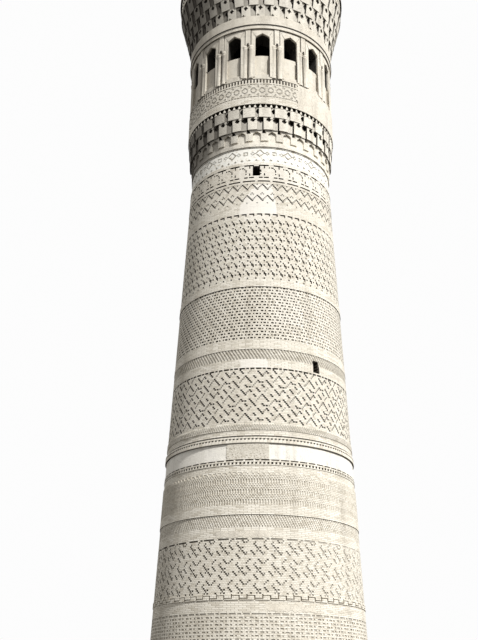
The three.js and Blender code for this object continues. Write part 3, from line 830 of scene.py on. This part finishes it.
# %% Chain and star band
SMALL_COLUMNS = 384
STAR_FOOT, STAR_HEAD = 33.25, 34.08


def chain(rows, columns):
    """Two zigzag lines of period 8, the rising parts less deep. A zigzag is a row number less the distance to
    the nearest peak."""
    i, j = table(rows, columns)
    u = j % 8
    high, low = 17 - np.minimum(u, 8 - u), 8 - np.minimum((u + 4) % 8, (4 - u) % 8)
    peak = ((u == 0) & (i == 10)) | (np.isin(u, [1, 7]) & (i == 9))
    falls = ((i == high) & (u <= 4)) | ((i == low) & ((u >= 4) | (u == 0)))
    others = (i == high) | (i == low) | peak | ((u == 4) & np.isin(i, [2, 17]))
    return halved(falls, others, 0.7)


def stars(columns):
    """Gaps of the star band, 14 courses of 12 cells from crossing to crossing: each course lists its gaps."""
    figure = {0: range(1, 11), 3: (2, 3, 4, 6, 7, 8, 9), 5: (6,), 6: (3, 6), 8: (3,), 9: (3,), 10: (2,),
              11: (0, 1, 6, 10), 12: (6,), 13: range(2, 10)}
    i, j = table(14, columns)
    gap = np.zeros(i.shape, bool)
    for row, cells in figure.items():
        gap |= (i == row) & np.isin(j % 12, list(cells))
    return gap


star_turn = turn_for(-2.9, 0, SMALL_COLUMNS)
star_heights = without(laid(stars(SMALL_COLUMNS), PROUD + 0.01), STAR_FOOT, STAR_HEAD, SLIT_HIGH, star_turn)
build("star_band_bricks", [
    relief(32.08, 33.15, laid(chain(18, SMALL_COLUMNS)), turn_for(-6.47, 0, SMALL_COLUMNS),
           units=(SMALL_COLUMNS, 18)),
    plain(33.15, STAR_FOOT, 0.042), relief(STAR_FOOT, STAR_HEAD, star_heights, star_turn),
    plain(STAR_HEAD, 34.23, 0.052)], BRICK)

# %% [markdown]
# ## The band of leaning bricks
# Over the diamonds runs a dashed line, and over that a row of thin bricks that lean to the right. It is the
# pattern of the rope with broader gaps, shallow because old mortar fills them. The lower slit window opens in
# it.

# %% Zigzag band
LEAN_FOOT, LEAN_HEAD, LEAN_CELLS = 25.44, 25.84, 700
lean = without(laid(0.65 * slanting(8, LEAN_CELLS, 4, 2)), LEAN_FOOT, LEAN_HEAD, SLIT_LOW)
build("zigzag_band_bricks", [
    relief(25.04, 25.1, laid(dashes(DIAMOND_COLUMNS, 12, [4, 7, 11])), diamond_turn),
    plain_with(25.1, LEAN_FOOT, SLIT_LOW),
    relief(LEAN_FOOT, LEAN_HEAD, lean, units=(LEAN_CELLS / 2, 7),
           dirt_and_shade=(round_the_front(LEAN_CELLS, 0.45, 0.0), 0.3)),
    plain(LEAN_HEAD, 26.02, 0.045), plain(26.02, 26.2)], BRICK)

# %% [markdown]
# ## The net of upright bricks and the hatched rows
# Bricks on end stand in three rows, with shallow staggered headers between the rows, so that the gaps make a
# net. Below it a few courses of staggered headers look like hatching. Old mortar fills both, so their gaps
# are shallow and fade away at the back.

# %% Herringbone band
NET_COLUMNS, HATCH_COLUMNS = 492, 744


def net(rows, columns):
    """Three courses of upright gaps every second cell, then three courses that alternate and are half as
    deep. Along the top run gaps three cells long."""
    i, j = table(rows, columns)
    turn = np.isin(i % 6, [3, 5])
    gap = ((j + turn) % 2 == 0) * np.where(i % 6 < 3, 1.0, 0.5)
    gap[-1] = np.arange(columns) % 4 < 3
    return gap


hatch_depth = round_the_front(HATCH_COLUMNS, 0.7, 0.1)
net_depth = round_the_front(NET_COLUMNS, 0.5, 0.0)
build("herringbone_band_bricks", [
    plain(19.31, 19.37),
    relief(19.37, 19.79, laid(slanting(7, HATCH_COLUMNS, 3) * hatch_depth), units=(HATCH_COLUMNS / 2, 7),
           dirt_and_shade=(0.2, 0.25)),
    plain(19.79, 20.12, PROUD + 0.02),
    relief(20.12, 21.24, laid(net(19, NET_COLUMNS) * net_depth, PROUD + 0.02),
           dirt_and_shade=(round_the_front(NET_COLUMNS, 0.2, 0.0), 0.1)),
    plain(21.24, 21.48)], BRICK)

# %% [markdown]
# ## The dentils of the frieze
# A frieze runs between two rows of small square holes, which stand out as ledges. Their tables have a few
# rows of one kind each: solid, holes, a broken line or open.


# %% Frieze band
def dentils(z0, z1, rows, proud, columns):
    """A ledge whose rows are named from the foot up. Holes take every second cell, and a line four of
    five."""
    j = np.arange(columns)
    gaps = {"solid": 0 * j, "holes": j % 2 == 0, "line": j % 5 > 0, "open": 0 * j + 1}
    return relief(z0, z1, laid(np.array([gaps[kind] for kind in rows]), proud), units=(columns, 2))


build("frieze_band_bricks", [
    dentils(21.48, 21.68, ["solid", "holes", "holes", "solid", "line"], PROUD + 0.012, 328),
    dentils(22.27, 22.54, ["solid", "solid", "holes", "solid", "open"], PROUD + 0.045, 338)], BRICK)

# %% [markdown]
# ## Surfaces through a grid of points
# What isn't a table of bricks is a grid of points: rows go up and columns go right, seen from outside, so
# that every face looks outwards. A batch of grids, such as all half columns of the lantern, is one array.
# Render laid by hand is such a grid too, with a radius that waves a little.


# %% Grids of points
def skin(grid, closed=False, smooth=True, units=(1.0, 1.0)):
    """Faces through a grid of points, or through a batch of grids: each face takes a point, the next to the
    right, the one above that and the one above the first. closed joins the last column to the first."""
    if closed:
        grid = np.concatenate([grid, grid[..., :1, :]], -2)
    rows, columns = grid.shape[-3] - 1, grid.shape[-2] - 1
    u, v = np.meshgrid(units[0] * np.arange(columns + 1) / columns, units[1] * np.arange(rows + 1) / rows)
    maps = np.broadcast_to(np.stack([u, v], -1), grid.shape[:-1] + (2,))
    faces = []
    for a in (grid, maps):
        around = [a[..., :-1, :-1, :], a[..., :-1, 1:, :], a[..., 1:, 1:, :], a[..., 1:, :-1, :]]
        faces.append(np.stack(around, -2).reshape(-1, 4, a.shape[-1]))
    return faces[0], faces[1], np.full(len(faces[0]), smooth), np.zeros(len(faces[0]))


def waves(azimuth, z, length, seed):
    """Smooth unevenness between -1 and 1 round the tower: the mean of six sine waves. Their whole numbers
    round the circle, their rise and their phases are drawn once."""
    draw = np.random.default_rng(seed)
    total = 0.0
    for _ in range(6):
        k = round(draw.uniform(6, 20) / length)
        rise, phase = draw.uniform(-9, 9) / length, draw.uniform(0, 2 * math.pi)
        total = total + np.sin(np.radians(azimuth) * k + z * rise + phase)
    return total / 6


print("a wave at the front: %.2f" % waves(0.0, 22.0, 1.0, 3))

# %% [markdown]
# ## Render on the shaft
# The frieze was plastered smooth, except for a carved field in front that stands a little proud. Old repairs
# cover a few courses. Such a repair is a table of fine cells, left out where they come nearer to its rim than
# a wave allows, which makes it ragged.

# %% Frieze field and its render
FIELD_LEFT, FIELD_RIGHT = -18.5, 5.5  # azimuths of the carved field
FRIEZE = (21.69, 22.26)
FIELD_PROUD, RENDER_THICK = 0.052, 0.03


def fretwork(rows, columns):
    """A field of small scrolls: gaps where the product of two bent waves, one along and one across, is
    large."""
    i, j = table(rows, columns)
    return np.sin(1.35 * j + 1.6 * np.sin(0.7 * i)) * np.sin(1.15 * i + 1.4 * np.sin(0.45 * j)) > 0.62


def plastered(z0, z1, thick, columns=240, rows=6, depth=0.004, seed=3):
    """A ring of render laid by hand over the core. Its radius waves by depth."""
    azimuth, z = np.meshgrid(360.0 * np.arange(columns) / columns, np.linspace(z0, z1, rows + 1))
    radius = core(z) + thick + depth * waves(azimuth, z, 1.0, seed)
    return skin(spot(azimuth, radius, z), closed=True, units=(columns / 4, rows))


field = relief(*FRIEZE, laid(0.26 * fretwork(17, 64), FIELD_PROUD), FIELD_LEFT, FIELD_RIGHT - FIELD_LEFT,
               dirt_and_shade=(0.15, 0.06))
build("frieze_carved_field", [field], BRICK)
build("frieze_render", [plastered(*FRIEZE, RENDER_THICK)], RENDER_FRESH)

# %% Repairs
PATCH_CELL, RAGGED = 0.03, 0.12
THIN, THICK = PROUD + 0.006, PROUD + 0.012  # how far a repair stands in front of the core


def patch(z0, z1, a0, a1, proud, seed):
    """A ragged piece of render over the bricks, from azimuth a0 to a1. A cell is left out where its distance
    from the rim is under RAGGED times half of one plus the waves."""
    rows = max(2, round((z1 - z0) / PATCH_CELL))
    columns = max(2, round(math.radians(a1 - a0) * core((z0 + z1) / 2) / PATCH_CELL))
    i, j = table(rows, columns)
    azimuth, z = a0 + (a1 - a0) * (j + 0.5) / columns, z0 + (z1 - z0) * (i + 0.5) / rows
    sides, ends = np.minimum(j + 0.5, columns - j - 0.5), np.minimum(i + 0.5, rows - i - 0.5)
    inside = np.minimum(sides, ends) * PATCH_CELL > RAGGED * (0.5 + 0.5 * waves(azimuth, z, 0.2, seed))
    return relief(z0, z1, np.where(inside, proud, BED), a0, a1 - a0)


build("render_patches", [
    patch(18.98, 19.3, -24.0, 8.0, THIN, 13), patch(16.68, 17.0, 2.0, 30.0, THIN, 14),
    patch(30.6, 31.6, 128.0, 146.0, THICK, 15), patch(23.3, 24.4, -140.0, -122.0, THICK, 16)],
    RENDER)

# %% [markdown]
# ## The glazed frieze
# Under the muqarnas runs a pale glazed frieze. Its diamonds and the small octagons between them are outlines
# cut into the glaze: a cell is cut where its distance from a centre lies in a narrow range. The distance is
# the straight one for an octagon, and the sum along both directions for a diamond.

# %% Glazed frieze
GLAZED_REPEATS, GLAZED_CELLS, GLAZED_ROWS = 16, 32, 20


def outlines(rows, columns, repeat):
    """Cut outlines: diamonds at the middle of each repeat, octagons midway, and small crosses along the
    foot."""
    i, j = table(rows, columns)
    across, up = np.abs((j % repeat) - repeat // 2), np.abs(i - rows * 0.55)
    diamond = np.abs(across + up - 4.2) < 0.8
    side = np.minimum(j % repeat, repeat - j % repeat)
    octagon = np.abs(np.hypot(side, up) - 2.4) < 0.6
    quarter = np.abs(across - repeat // 4)
    small = np.abs(np.hypot(quarter, up) - 1.6) < 0.55
    foot = ((j % 8 == 4) & (i >= 1) & (i <= 3)) | ((i == 2) & (np.abs(j % 8 - 4) <= 1))
    return diamond | octagon | small | foot | (i == rows - 2)


glazed = laid(outlines(GLAZED_ROWS, GLAZED_REPEATS * GLAZED_CELLS, GLAZED_CELLS), 0.024)
build("glazed_frieze_relief", [relief(34.23, 34.99, glazed, -0.6 - 180.0 / GLAZED_REPEATS)], GLAZE)

# %% [markdown]
# ## The muqarnas
# A tier of the muqarnas is a row of blocks that leans out. The right part of each block lies back, so light
# from the right leaves it in shade. Narrow slots part the blocks, and dark squinches open at their heads.
# Carved solids would take many cuts, and a table of heights with fine cells says the same. The solids behind
# it are painted dark as shade, and show in slots and squinches. The low parts are painted with shade as well,
# darkest on the left flank.

# %% Tiers of blocks
STAND = 0.05  # how far the high parts of the blocks stand in front of the tier's back
CELL_HEIGHT, CELLS_ACROSS = 0.042, 24
LOWER_CELLS, UPPER_CELLS = 30, 32
DARKEST_SHADE = -80.0  # azimuth of the darkest painted shade


def block_tier(z0, z1, foot, head, count, start, low, slot, squinches, open_part=None):
    """A tier of blocks between z0 and z1, whose back leans from the radius foot to the radius head. Azimuths
    in a cell count from the left edge of its block: low is where the right part begins, and slot where the
    slot does. A squinch is a diamond (azimuth, z, half width, half height). The slot is open between the two
    heights of open_part, and shallow beyond them."""
    rows, columns = round((z1 - z0) / CELL_HEIGHT), CELLS_ACROSS * count
    i, j = table(rows, columns)
    across = (j + 0.5) % CELLS_ACROSS * 360.0 / columns
    z = z0 + (z1 - z0) * (i + 0.5) / rows
    height = np.where(across < low, STAND, 0.2 * STAND)
    shallow = open_part is not None and (z < open_part[0]) | (z > open_part[1])
    height = np.where(across > slot, np.where(shallow, 0.15 * STAND, BED), height)
    for azimuth, level, wide, tall in squinches:
        height[np.abs(across - azimuth) / wide + np.abs(z - level) / tall < 1.0] = BED
    lean = (head - foot) / (z1 - z0)
    # Painted shade on the low parts, the shallow slots and the sides, darkest on the left flank.
    return relief(z0, z1, height, start, radius=lambda z: foot + lean * (z - z0), units=(12 * count, rows),
                  dirt_and_shade=(round_the_front(columns, 1.0, 0.0, start, DARKEST_SHADE), 0.8))


def flaring_tier(z0, z1, foot, head, start, slot_foot, squinches):
    """A tier of the upper muqarnas: its slot is open from slot_foot up, and a squinch stands at its head."""
    return block_tier(z0, z1, foot, head, UPPER_CELLS, start, 7.0, 10.2, squinches, (slot_foot, z1))


build("lower_muqarnas_blocks", [
    block_tier(35.78, 36.38, 3.115, 3.135, LOWER_CELLS, 2.4, 7.0, 10.9,
               [(3.9, 36.26, 2.3, 0.12), (9.8, 36.26, 3.4, 0.15)]),
    block_tier(36.38, 36.84, 3.165, 3.19, LOWER_CELLS, 10.9, 9.0, 10.2, [(11.1, 36.68, 1.9, 0.15)],
               (36.6, 36.76))], CARVED)
build("upper_muqarnas_blocks", [
    flaring_tier(41.74, 42.35, 3.235, 3.32, 7.6, 42.1,
                 [(10.6, 42.2, 2.2, 0.18), (3.4, 42.22, 1.7, 0.12), (1.5, 41.84, 1.2, 0.07)]),
    flaring_tier(42.35, 42.9, 3.355, 3.46, 2.6, 42.45, [(10.6, 42.76, 2.2, 0.18), (3.8, 42.78, 1.8, 0.12)]),
    flaring_tier(42.9, 43.5, 3.48, 3.6, 8.2, 43.0, [(10.6, 43.35, 2.2, 0.2), (3.8, 43.35, 1.8, 0.14)]),
    flaring_tier(43.5, 44.3, 3.625, 3.82, 2.6, 43.6, [(10.6, 44.1, 2.2, 0.2), (3.8, 44.1, 1.8, 0.14)])],
    CARVED)

# %% [markdown]
# ## The lantern's drum
# The drum has a net of rings and small diamonds under a border of upright strokes. On the right it was
# plastered over, so each belt of bricks runs from the plaster's left edge round the back to its right edge.

# %% Drum
DRUM_RADIUS, DRUM_FACE = 3.26, 0.016
PLASTER_LEFT, PLASTER_RIGHT = 29.0, 96.0  # azimuths
RINGS, RING_CELLS, TICKS = 56, 10, 149
ring_columns, tick_columns = RINGS * RING_CELLS, 4 * TICKS


def drum(z):
    """The drum's radius is the same at every height."""
    return DRUM_RADIUS + 0 * z


def ring_net(rows, columns, repeat, shift=2.8):
    """Rings side by side, with small diamonds above and below where two rings meet. A ring is a distance from
    its centre, 0.3 of the repeat. shift turns them, in cells."""
    i, j = table(rows, columns)
    x, y = (j + shift) % repeat - repeat / 2, i + 0.5 - rows / 2
    side = repeat / 2 - np.abs(x)
    ring = np.abs(np.hypot(x, y) - 0.3 * repeat) < 0.7
    diamond = side + np.abs(np.abs(y) - 0.38 * rows) < 1.7
    return ring | diamond


def ticks(rows, columns):
    """Upright strokes, two cells of four, over a flush course."""
    i, j = table(rows, columns)
    return (j % 4 < 2) & (i > 0)


def drum_belt(z0, z1, gap):
    """One belt of the drum. The plaster's edge wanders by a sine wave of the height."""
    rows, columns = gap.shape
    azimuth = (PLASTER_RIGHT + 360.0 * (np.arange(columns) + 0.5) / columns) % 360.0
    i, _ = table(rows, columns)
    edge = PLASTER_LEFT + 1.6 * np.sin(7 * (z0 + (z1 - z0) * i / rows))
    hidden = (azimuth[None, :] > edge) & (azimuth[None, :] < PLASTER_RIGHT)
    return relief(z0, z1, np.where(hidden, BED, laid(gap, DRUM_FACE)), PLASTER_RIGHT, radius=drum,
                  units=(columns / 4, rows))


border = 0.6 * dashes(tick_columns, 4, [3])
build("drum_relief", [
    drum_belt(37.0, 37.34, np.zeros((5, ring_columns))), drum_belt(37.34, 37.4, border),
    drum_belt(37.4, 37.98, 0.7 * ring_net(14, ring_columns, RING_CELLS)), drum_belt(37.98, 38.04, border),
    drum_belt(38.04, 38.27, 1.0 * ticks(4, tick_columns))], BRICK)

# %% [markdown]
# ## Bricks laid cornerwise
# A course of bricks laid cornerwise carries the drum. From below only the struts between deep notches show. A
# notch is wide at its head, so two rings of points with different widths make the whole course.

# %% Tooth course
TEETH = 90


def teeth(count, z0, z1, low, high):
    """Struts and notches: between two struts the radius falls from high to low and back, in a notch that
    takes most of the tooth at its head and half of it at its foot."""
    levels = []
    for z, side in ((z0, 0.26), (z1, 0.04)):
        across = np.array([0.0, side, side + 0.03, 0.97 - side, 1.0 - side])
        azimuth = 360.0 / count * (np.arange(count)[:, None] + across).ravel()
        levels.append(spot(azimuth, np.tile([high, high, low, low, high], count), z))
    return skin(np.stack(levels), closed=True, smooth=False, units=(2 * count, 3))


# The notches are painted black as shade by their material.
build("tooth_course_bricks", [teeth(TEETH, 36.835, 36.985, 3.145, 3.253)], CORNERWISE)

# %% [markdown]
# ## Plaster over the drum
# The plaster on the drum's right side is a table too. Its cells are left out beyond a ragged left edge.


# %% Plaster
def drum_plaster(rows, columns):
    """The plaster over the drum. Its left edge wanders by two sine waves of the row's number."""
    i, j = table(rows, columns)
    return np.where(j > 3 + 2.2 * np.sin(i * 1.3) + 1.5 * np.sin(i * 0.45), DRUM_FACE + 0.006, BED)


build("drum_render", [relief(37.0, 38.31, drum_plaster(22, 190), PLASTER_LEFT - 2.0,
                             PLASTER_RIGHT - PLASTER_LEFT + 2.0, radius=drum)], RENDER)

# %% [markdown]
# ## Half columns and the painted shadows between them
# Each pier has two half columns with a groove between them, and a bulb for a capital. A half column is half
# an ellipse whose width follows a profile along the height, as if turned on a lathe. Narrow strips of
# painted shadow lie in the grooves, between the capitals, along the edges of the fields, at the right edge
# of each panel and along the head of each bay.

# %% Half columns
BAYS, FIRST_BAY = 16, 1.4  # their number, and the azimuth of the one in front
FACE = 3.22  # radius of the lantern's wall
bay = FIRST_BAY + 360.0 / BAYS * np.arange(BAYS)
BESIDE = 2.35  # degrees from the middle of a pier to a half column
COLUMN = [  # height and half width
    (38.37, 0.0), (38.4, 0.1), (38.5, 0.1), (38.53, 0.085), (38.56, 0.095), (38.6, 0.08), (39.97, 0.078),
    (39.99, 0.098), (40.02, 0.098), (40.04, 0.074), (40.08, 0.104), (40.12, 0.118), (40.16, 0.104),
    (40.2, 0.07), (40.23, 0.0)]
pier = bay + 180.0 / BAYS


def half_columns(azimuths, profile, face):
    """Half columns: at each height of the profile a half ellipse, as deep as 0.6 of its half width."""
    z, width = (np.array(column) for column in zip(*profile))
    t = np.radians(np.linspace(-90, 90, 9))
    across = width[:, None] * np.sin(t)
    radius = face + 0.6 * width[:, None] * np.cos(t)
    turned = np.asarray(azimuths)[:, None, None] + np.degrees(across / face)
    return skin(spot(turned, radius, z[:, None]), units=(2, 20))


build("lantern_half_columns", [half_columns(np.concatenate([pier - BESIDE, pier + BESIDE]), COLUMN,
                                            FACE - 0.006)], RENDER)

# %% Painted shadows in the grooves
OUTSIDE, INSIDE = 0.506, 0.295  # metres from the middle of a bay to the edge of its field, and of its panel
HEAD_SHADOW_LINE, RING_SIDES = (41.25, 41.285), 240


def shadow_line(azimuths, across, z0, z1, radius, offset):
    """A narrow upright strip of painted shadow at each azimuth, across metres wide and offset metres to the
    right.
    """
    sides = np.degrees((offset + across * np.array([-0.5, 0.5])) / radius)
    return skin(spot(np.asarray(azimuths)[:, None, None] + sides, radius, np.array([[z0], [z1]])))


SHADOW_LINES = [  # azimuths, width, foot, head, radius and offset
    (pier, 0.06, 38.46, 40.05, 3.12, 0), (pier, 0.05, 38.34, 38.46, FACE + 0.003, 0),
    (pier, 0.085, 40.16, 40.29, FACE + 0.06, 0), (bay, 0.034, 40.25, 41.08, FACE + 0.003, OUTSIDE),
    (bay, 0.034, 40.25, 41.08, FACE + 0.003, -OUTSIDE), (bay, 0.99, 41.045, 41.08, FACE + 0.003, 0),
    (bay, 0.045, 38.5, 39.6, FACE + 0.004, INSIDE)]
head_shadow_line = relief(*HEAD_SHADOW_LINE, np.full((1, RING_SIDES), 0.08), radius=drum)
build("lantern_painted_shadow_lines", [shadow_line(*line) for line in SHADOW_LINES] + [head_shadow_line], GROOVE_SHADE)

# %% [markdown]
# ## The arcade
# Each bay of the lantern has a raised field round its arch. Cut from a plate it would need a hole. Instead
# one line follows the arch and another the field's outline, point for point, with faces between them. The
# same function makes the doorway's frame at the back.

# %% Raised fields


def arch_half(half, foot, spring, apex):
    """Right half of an arch from its foot to its apex: a jamb, a rounded shoulder and a straight slope. The
    shoulder is a curve of the second degree in t, which runs from 0 to 1."""
    rise = apex - spring
    t = np.linspace(0, 1, 5)[1:]
    curve_x = half * ((1 - t) ** 2 + 2 * t * (1 - t) + 0.76 * t ** 2)
    curve_z = spring + rise * (0.6 * t * (1 - t) + 0.47 * t ** 2)
    x = np.concatenate([[half, half], curve_x, [0.38 * half, 0.0]])
    z = np.concatenate([[foot, spring], curve_z, [spring + 0.735 * rise, apex]])
    return x, z


def both_halves(x, z):
    """A line from the foot of its right half over the middle to the foot of the left one, the mirror
    image."""
    half = np.stack([x, z], -1)
    return np.concatenate([half, (half * [-1, 1])[-2::-1]])


def raised_field(azimuths, half, foot, spring, apex, outer, top, low, high):
    """A raised plate round an arch, outer metres to each side and up to top: the edge along the arch, the
    front, the edge along the outline, and the two feet. low and high are the radii of the wall and of the
    front."""
    x, z = arch_half(half, foot, spring, apex)
    corner = 4  # points of the outline up to its upper corner
    rest = len(x) - corner
    outline_x = np.concatenate([np.full(corner, outer), outer * np.linspace(1, 0, rest)])
    outline_z = np.concatenate([[foot, spring], np.linspace(spring, top, corner - 1)[1:], np.full(rest, top)])
    arch, outline = both_halves(x, z), both_halves(outline_x, outline_z)
    path = np.stack([arch, arch, outline, outline], 1)
    turned = np.asarray(azimuths)[:, None, None] + np.degrees(path[..., 0] / high)
    grid = spot(turned, np.array([low, high, high, low]), path[..., 1])
    right_foot = np.stack([grid[:, 0][:, [3, 0]], grid[:, 0][:, [2, 1]]], 1)
    left_foot = np.stack([grid[:, -1][:, [0, 3]], grid[:, -1][:, [1, 2]]], 1)
    return [skin(part, smooth=False) for part in (grid, right_foot, left_foot)]


build("lantern_raised_fields", raised_field(bay, 0.322, 38.46, 40.56, 40.85, 0.485, 41.05, FACE - 0.01,
                                            FACE + 0.022), RENDER)

# %% [markdown]
# ## The head ring and the cornice
# A rendered ring lies over the bays, parted by a thin ring painted dark as a shadow line. Above the upper
# muqarnas the cornice is plain brick with a course of teeth, as such towers have. Rings with more sides than
# the solids make the round parts round.

# %% Head ring and cornice
CORNICE_CELLS = 480


def head_ring(z):
    """The ring over the bays leans out by a little."""
    return 3.294 + 0.04 * (z - 41.3)


def crown(z):
    """Radius of the cornice."""
    return 3.87 + 0 * z


head_face = np.full((2, RING_SIDES), 0.02)
build("head_ring_render", [
    relief(41.08, HEAD_SHADOW_LINE[0], head_face, radius=head_ring),
    relief(HEAD_SHADOW_LINE[1], 41.76, head_face, radius=head_ring)], RENDER)
build("cornice_bricks", [
    plain(44.31, 44.5, 0.012, crown),
    relief(44.5, 44.8, laid(slanting(5, CORNICE_CELLS, 4, 2), 0.012), radius=crown, units=(CORNICE_CELLS, 5)),
    plain(44.8, 45.05, 0.012, crown), plain(45.05, 45.3, 0.09, crown)], BRICK)

# %% [markdown]
# ## The foot of the tower
# The photograph starts above it, so the lowest bands repeat what the rest shows: plain courses, a chequered
# band, a diamond band and a basket band. The doorway at the back gets a brick frame that stands out from the
# wall.

# %% Lowest bands and doorway
FOOT_CELLS, DOOR_BAND = 300, (5.2, 7.4)
BELT = PROUD + 0.04  # a belt course stands out by 40 mm more
door_band = without(laid(slanting(22, FOOT_CELLS, 2)), *DOOR_BAND, DOORWAY)
build("foot_bricks", [
    plain(1.31, 4.6), plain(4.6, 4.8, BELT), plain(4.8, 5.0),
    plain_with(5.0, DOOR_BAND[0], DOORWAY, columns=FOOT_CELLS),
    relief(*DOOR_BAND, door_band, units=(FOOT_CELLS, 37)), plain(DOOR_BAND[1], 7.6)], BRICK)
build("lower_zigzag_bricks", [
    plain(7.6, 7.8, BELT), plain(7.8, 8.28),
    relief(8.28, 10.32, laid(diamonds(DIAMOND_ROWS, SMALL_COLUMNS)), units=(SMALL_COLUMNS, DIAMOND_ROWS)),
    plain(10.32, 10.6)], BRICK)
build("lower_basket_bricks", [
    plain(10.6, 11.0), relief(11.0, 12.92, laid(basket(32, 400))), plain(12.92, 13.2),
    plain(13.2, 13.4, BELT), plain(13.4, 13.7)], BRICK)
build("doorway_frame", raised_field([180.0], 0.46, 5.15, 6.75, 7.27, 0.85, 7.5, 4.16, 4.34), BRICK)

# %% [markdown]
# ## The floor
# A wide pale floor serves for the side views and isn't part of the tower. It looks pale, but lights the tower
# as little as bare earth does, so that the undersides stay dark.

# %% Floor
REACH, UNDER = 60.0, 0.002
ground = bpy.data.meshes.new("floor")
ground.from_pydata([(x * REACH, y * REACH, -UNDER) for x, y in ((-1, -1), (1, -1), (1, 1), (-1, 1))], [],
                   [(0, 1, 2, 3)])
floor = bpy.data.objects.new("floor", ground)
bpy.context.scene.collection.objects.link(floor)
floor_material, floor_tree, _ = empty_material("studio_floor")
seen = add(floor_tree, "ShaderNodeLightPath").outputs["Is Camera Ray"]
tone = add(floor_tree, "ShaderNodeMix", {"Factor": seen, "A": colour("#3d3a36"), "B": colour("#d8d6d2")},
           data_type="RGBA")
paint = add(floor_tree, "ShaderNodeBsdfPrincipled", {"Base Color": tone, "Roughness": 0.9})
add(floor_tree, "ShaderNodeOutputMaterial", {"Surface": paint})
ground.materials.append(floor_material)
print("floor:", 2 * REACH, "m wide")
